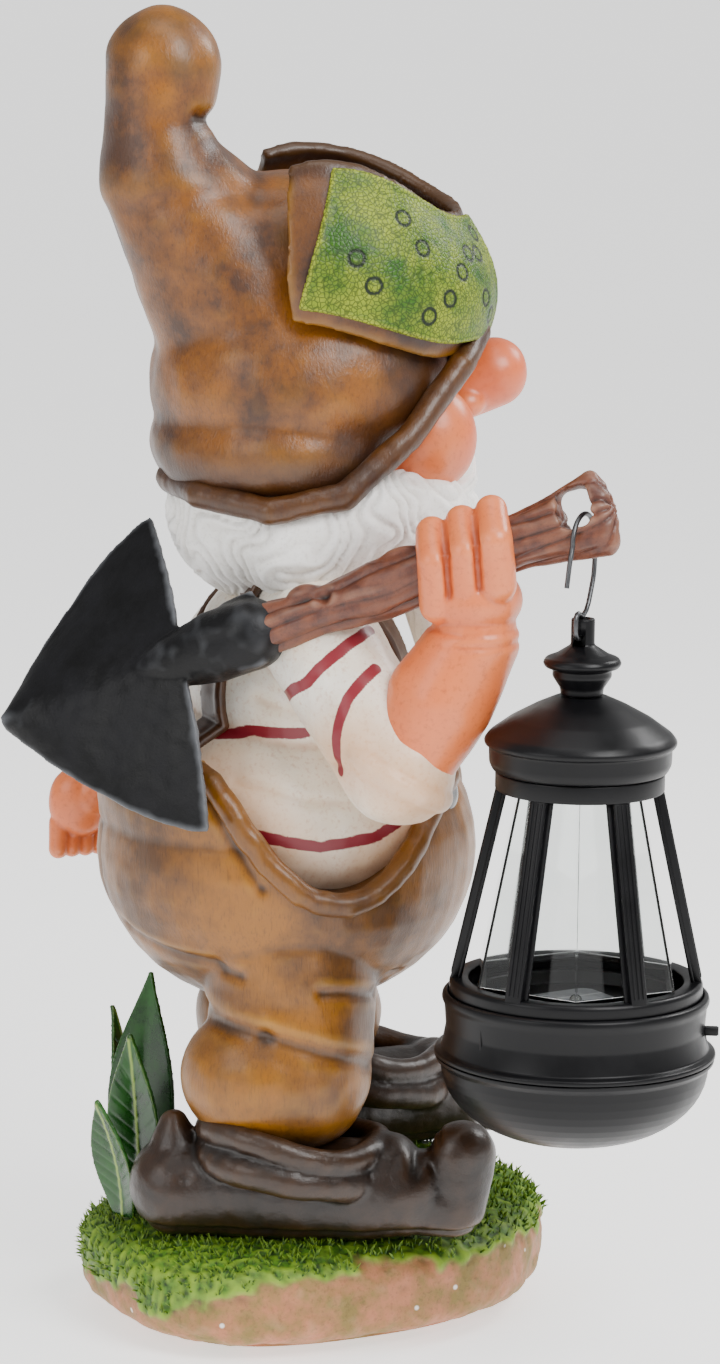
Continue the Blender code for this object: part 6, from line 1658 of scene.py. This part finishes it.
# %% Hexagonal seat of the panes
def hexagonal(name, levels, wall, lift=0.0):
    """A six-sided shell through (corner radius, height) levels, with a wall inside it."""
    bm = bmesh.new()
    place_turn = Matrix.Rotation(POST_TURNS[0], 4, "Z")
    loops = []
    for radius, level in levels:
        made = bmesh.ops.create_circle(
            bm, segments=6, radius=radius, matrix=Matrix.Translation((0, 0, level)) @ place_turn,
        )
        loops.append(list({edge for vert in made["verts"] for edge in vert.link_edges}))
    for lower_loop, upper_loop in zip(loops, loops[1:]):
        bmesh.ops.bridge_loops(bm, edges=lower_loop + upper_loop)
    bmesh.ops.recalc_face_normals(bm, faces=bm.faces)
    shell = [
        ("SOLIDIFY", {"thickness": wall, "offset": lift}),
        ("BEVEL", {"width": 0.0003, "segments": 2, "limit_method": "ANGLE"}),
    ]
    mesh = evaluated(mesh_of(bm, name), name, shell)
    mesh.transform(LANTERN)
    return mesh


seat = hexagonal("pane_seat", [(0.0455, POST_FOOT - 0.0020), (0.0472, POST_FOOT + 0.0002)], 0.0010)
piece("pane_seat", seat, black_abs, body="lantern").data.shade_flat()
pane_foot, pane_head = foot - 0.0025 - 0.0006, top - 0.0025 - 0.0006
panes = hexagonal(
    "lantern_panes", [(pane_foot, POST_FOOT + 0.0003), (pane_head, POST_TOP - 0.0003)], 0.0014, -1.0,
)
# Clear polycarbonate, injection moulded: nearly colourless, with a faint haze where it has been handled.
clear, tree, shader = new_material("clear_polycarbonate", Transmission_Weight=1.0, IOR=1.58)
smear = add(
    tree, "TexNoise", {"Vector": add(tree, "TexCoord").outputs["Object"], "Scale": 1000 / 20, "Detail": 4.0},
)
haze = add(
    tree, "MapRange",
    {"Value": smear.outputs[0], "From Min": 0.35, "From Max": 0.7, "To Min": 0.01, "To Max": 0.07},
)
tree.links.new(haze.outputs[0], shader.inputs["Roughness"])
tinge = add(tree, "Mix", {0: smear.outputs[0], 6: colour("#ffffff"), 7: colour("#f1f6f4")}, data_type="RGBA")
tree.links.new(tinge.outputs[2], shader.inputs["Base Color"])
piece("lantern_panes", panes, clear, ["glazing"], "lantern").data.shade_flat()

# %% Drum and bowl
deck_edge = CAGE_RADIUS - 0.0120
bore = HOUSING_RADIUS - 0.0022
drum = lathe(
    "drum",
    [
        (0.0037, DECK), (deck_edge, DECK), (deck_edge + 0.0010, RIM), (CAGE_RADIUS + 0.0003, RIM),
        (HOUSING_RADIUS - 0.0025, RIM + 0.0014), (HOUSING_RADIUS - 0.0006, RIM + 0.0004),
        (HOUSING_RADIUS - 0.0002, RIM - 0.0020), (HOUSING_RADIUS - 0.0014, RIM - 0.0046),
        (HOUSING_RADIUS - 0.0022, BEAD + 0.0130), (HOUSING_RADIUS - 0.0004, BEAD + 0.0034),
        (LANTERN_RADIUS, BEAD + 0.0024), (LANTERN_RADIUS, BEAD + 0.0003), (bore, BEAD + 0.0003),
        (bore, BEAD + 0.0080),
        (bore - 0.0010, DECK - 0.0050), (deck_edge - 0.0040, DECK - 0.0022), (0.0037, DECK - 0.0022),
    ],
    0.0008,
    finish=False,
)
SWITCH_TURN = math.radians(290)
bm = bmesh.new()
slot_place = Matrix.Rotation(SWITCH_TURN, 4, "Z") @ Matrix.Translation((HOUSING_RADIUS - 0.0005, 0, 0.0515))
block(bm, (0.012, 0.0106, 0.0046), slot_place, 0.0006)
slot = bpy.data.objects.new("slot", mesh_of(bm, "slot"))
bpy.context.scene.collection.objects.link(slot)
drum = evaluated(
    drum, "lantern_drum", [("BOOLEAN", {"operation": "DIFFERENCE", "solver": "EXACT", "object": slot})],
)
bpy.data.objects.remove(slot, do_unlink=True)
bm = bmesh.new()
bm.from_mesh(drum)
for degrees in (157, 337):
    seam = Matrix.Rotation(math.radians(degrees), 4, "Z") @ Matrix.Translation(
        (HOUSING_RADIUS - 0.0021, 0, (BEAD + RIM) / 2 - 0.002)
    )
    block(bm, (0.0008, 0.0010, RIM - BEAD - 0.008), seam, 0.0003)
drum = mesh_of(bm, "lantern_drum")
drum.transform(LANTERN)
piece("lantern_drum", drum, black_abs, ["housing"], "lantern")
collar_radius = bore * math.cos(math.tau / 48) - 0.0006
profile = [
    (collar_radius - 0.0022, BEAD + 0.0068), (collar_radius, BEAD + 0.0068), (collar_radius, BEAD - 0.0002),
]
profile += [
    (LANTERN_RADIUS - 0.0004, BEAD - 0.0002), (LANTERN_RADIUS - 0.0006, BEAD - 0.0018),
    (LANTERN_RADIUS - 0.0028, BEAD - 0.0040),
]
for index in range(1, 15):
    angle = index * math.pi / 28
    radius = 0.0588 * math.cos(angle) ** 0.85 if index < 14 else 0.0
    profile.append((radius, 0.0350 * (1 - math.sin(angle))))
for index in range(14, 0, -1):
    angle = index * math.pi / 28
    radius = 0.0566 * math.cos(angle) ** 0.85 if index < 14 else 0.0
    profile.append((radius, 0.0022 + 0.0328 * (1 - math.sin(angle))))
profile += [(0.0566, BEAD - 0.0040), (collar_radius - 0.0022, BEAD - 0.0020)]
bowl = lathe("bowl_shell", profile, 0.0004)
piece("bowl_shell", bowl, black_abs, ["bottom_bowl"], "bowl")

# %% Switch knob
bm = bmesh.new()
knob = Matrix.Rotation(SWITCH_TURN, 4, "Z") @ Matrix.Translation((HOUSING_RADIUS + 0.0002, -0.0020, 0.0515))
block(bm, (0.0068, 0.0050, 0.0036), knob, 0.0005)
for ridge in (-0.0014, 0, 0.0014):
    block(bm, (0.0006, 0.0006, 0.0032), knob @ Matrix.Translation((0.0034, ridge, 0)), 0.00015)
switch_knob = mesh_of(bm, "switch_knob")
switch_knob.transform(LANTERN)
piece("switch_knob", switch_knob, black_abs, ["switch_slider"], "switch")

# %% [markdown]
# ## Solar cell, lamp and the parts inside
# A small silicon cell lies on the deck under the panes, and looks silver-grey behind its thin silver lines.
# The lamp stands in its middle. The battery, its holder, the board and the screws are plain solids in the
# CAD model, which nothing here needs to change, so they keep their shape and get a finish.

# %% Solar cell and lamp
# Polycrystalline silicon under clear resin, sawn from a cast block: silvery flakes crossed by thin silver
# lines, behind a gloss skin.
cell_paint, tree, shader = new_material("silicon_cell_under_resin", Roughness=0.28, Coat_Weight=0.7)
centre = LANTERN @ Vector((0, 0, DECK))
spot = add(tree, "TexCoord").outputs["Object"]
turned_back = (LANTERN.to_3x3() @ Matrix.Rotation(math.radians(57), 3, "Z")).transposed()
angles = turned_back.to_euler()
moved = add(tree, "VectorMath", {0: spot, 1: tuple(centre)}, operation="SUBTRACT")
square = add(tree, "Mapping", {"Vector": moved.outputs[0], "Rotation": tuple(angles)})
fingers = add(
    tree, "TexWave", {"Vector": square.outputs[0], "Scale": 1000 / (2.2 * 20), "Distortion": 0.0},
    bands_direction="X",
)
crystals = add(tree, "TexVoronoi", {"Vector": spot, "Scale": 1000 / 4.0})
flakes = add(
    tree, "Mix", {0: crystals.outputs["Color"], 6: colour("#8c9096"), 7: colour("#b4b8bc")}, data_type="RGBA",
)
lines = add(tree, "MapRange", {"Value": fingers.outputs[0], "From Min": 0.93, "From Max": 0.99})
silvered = add(
    tree, "Mix", {0: lines.outputs[0], 6: flakes.outputs[2], 7: colour("#dcdedf")}, data_type="RGBA",
)
tree.links.new(silvered.outputs[2], shader.inputs["Base Color"])
cell = lathe(
    "cell_blank", [(0.0037, 0.0024), (0.024, 0.0024), (0.024, 0), (0.0037, 0)], 0.0002, 48, finish=False,
)
bm = bmesh.new()
bm.from_mesh(cell)
for way in range(4):
    outward = Matrix.Rotation(way * math.pi / 2, 3, "Z") @ Vector((1, 0, 0))
    parts = [*bm.verts, *bm.edges, *bm.faces]
    cut = bmesh.ops.bisect_plane(
        bm, geom=parts, plane_co=outward * 0.0185, plane_no=outward, clear_outer=True,
    )
    rims = [item for item in cut["geom_cut"] if isinstance(item, bmesh.types.BMEdge)]
    bmesh.ops.holes_fill(bm, edges=rims)
for x, y in ((0.0125, 0.0125), (-0.0125, -0.0125)):
    block(bm, (0.0030, 0.0016, 0.0008), Matrix.Translation((x, y, 0.0026)), 0.0002)
bmesh.ops.recalc_face_normals(bm, faces=bm.faces)
cell = mesh_of(bm, "solar_panel")
cell.transform(
    LANTERN @ Matrix.Translation((0, 0, DECK + 0.0003)) @ Matrix.Rotation(math.radians(57), 4, "Z")
)
piece("solar_panel", cell, cell_paint, ["solar_cell"], "lantern").data.shade_flat()
# Clear epoxy cast round the lamp's chip: water-clear, with slightly cloudy gloss.
lamp_epoxy, tree, shader = new_material("led_clear_epoxy", Transmission_Weight=1.0, IOR=1.54)
bubble = add(tree, "TexNoise", {"Vector": add(tree, "TexCoord").outputs["Object"], "Scale": 1000 / 2})
cloudy = add(tree, "MapRange", {"Value": bubble.outputs[0], "To Min": 0.02, "To Max": 0.10})
tree.links.new(cloudy.outputs[0], shader.inputs["Roughness"])
warm = add(tree, "Mix", {0: bubble.outputs[0], 6: colour("#fdfdf8"), 7: colour("#f4f3e4")}, data_type="RGBA")
tree.links.new(warm.outputs[2], shader.inputs["Base Color"])
lamp_top = DECK + 0.0054
profile = [(0.0, lamp_top)]
for index in range(1, 9):
    angle = index * math.pi / 16
    profile.append((0.0025 * math.sin(angle), lamp_top - 0.0025 * (1 - math.cos(angle))))
profile += [(0.0025, 0.0547), (0.0029, 0.0547), (0.0029, 0.0537), (0.0, 0.0537)]
lamp = lathe("lamp", profile, 0.0002, 40)
piece("lamp", lamp, lamp_epoxy, ["led"], "lantern")


# %% Finishes of the parts that keep their CAD shape
def plain_finish(name, first, second, size_mm, rough, metallic=0.0, bump_mm=0.02):
    """Two close colours in soft patches, with uneven gloss and a fine surface."""
    made, tree, shader = new_material(name, Metallic=metallic)
    spot = add(tree, "TexCoord").outputs["Object"]
    mottle = add(tree, "TexNoise", {"Vector": spot, "Scale": 1000 / size_mm, "Detail": 5.0})
    two = add(tree, "Mix", {0: mottle.outputs[0], 6: colour(first), 7: colour(second)}, data_type="RGBA")
    tree.links.new(two.outputs[2], shader.inputs["Base Color"])
    gloss = add(
        tree, "MapRange", {"Value": mottle.outputs[0], "To Min": rough - 0.06, "To Max": rough + 0.08},
    )
    tree.links.new(gloss.outputs[0], shader.inputs["Roughness"])
    fine = add(tree, "Bump", {"Height": mottle.outputs[0], "Strength": 0.4, "Distance": bump_mm * MM})
    tree.links.new(fine.outputs[0], shader.inputs["Normal"])
    return made


# Steel plated with zinc in a bath: pale metal, a little cloudy.
zinc = plain_finish("screw_zinc_plated", "#9a9da1", "#c4c6c8", 1.5, 0.30, 1.0)
# Spring steel plated with nickel: warmer and brighter than zinc.
spring_steel = plain_finish("contact_nickel_plated", "#b3b1aa", "#d4d2cc", 2.5, 0.24, 1.0)
# Glass-fibre board under green solder lacquer, cured and slightly glossy.
fibreglass = plain_finish("board_green_lacquer", "#0d4a26", "#1a6b38", 4.0, 0.35)
# A shrunk PVC sleeve with no printing, so one even blue.
wrap = plain_finish("battery_wrap_pvc", "#2f6fae", "#2a639d", 12.0, 0.30)
# The same ABS as the lantern's outside, in a smooth tool that leaves it flatter and duller.
inner_abs = plain_finish("abs_black_inside", "#0b0b0d", "#161619", 6.0, 0.45)
FINISHES = {
    "finial_screw": zinc,
    "cage_screw_1": zinc,
    "cage_screw_2": zinc,
    "cage_screw_3": zinc,
    "battery_spring": spring_steel,
    "contact_plate": spring_steel,
    "circuit_board": fibreglass,
    "battery": wrap,
    "battery_holder": inner_abs,
    "switch_body": inner_abs,
}
for node, finish in FINISHES.items():
    for slot in frame["nodes"][node].material_slots:
        slot.material = finish
print("CAD nodes that keep their shape:", len(FINISHES))
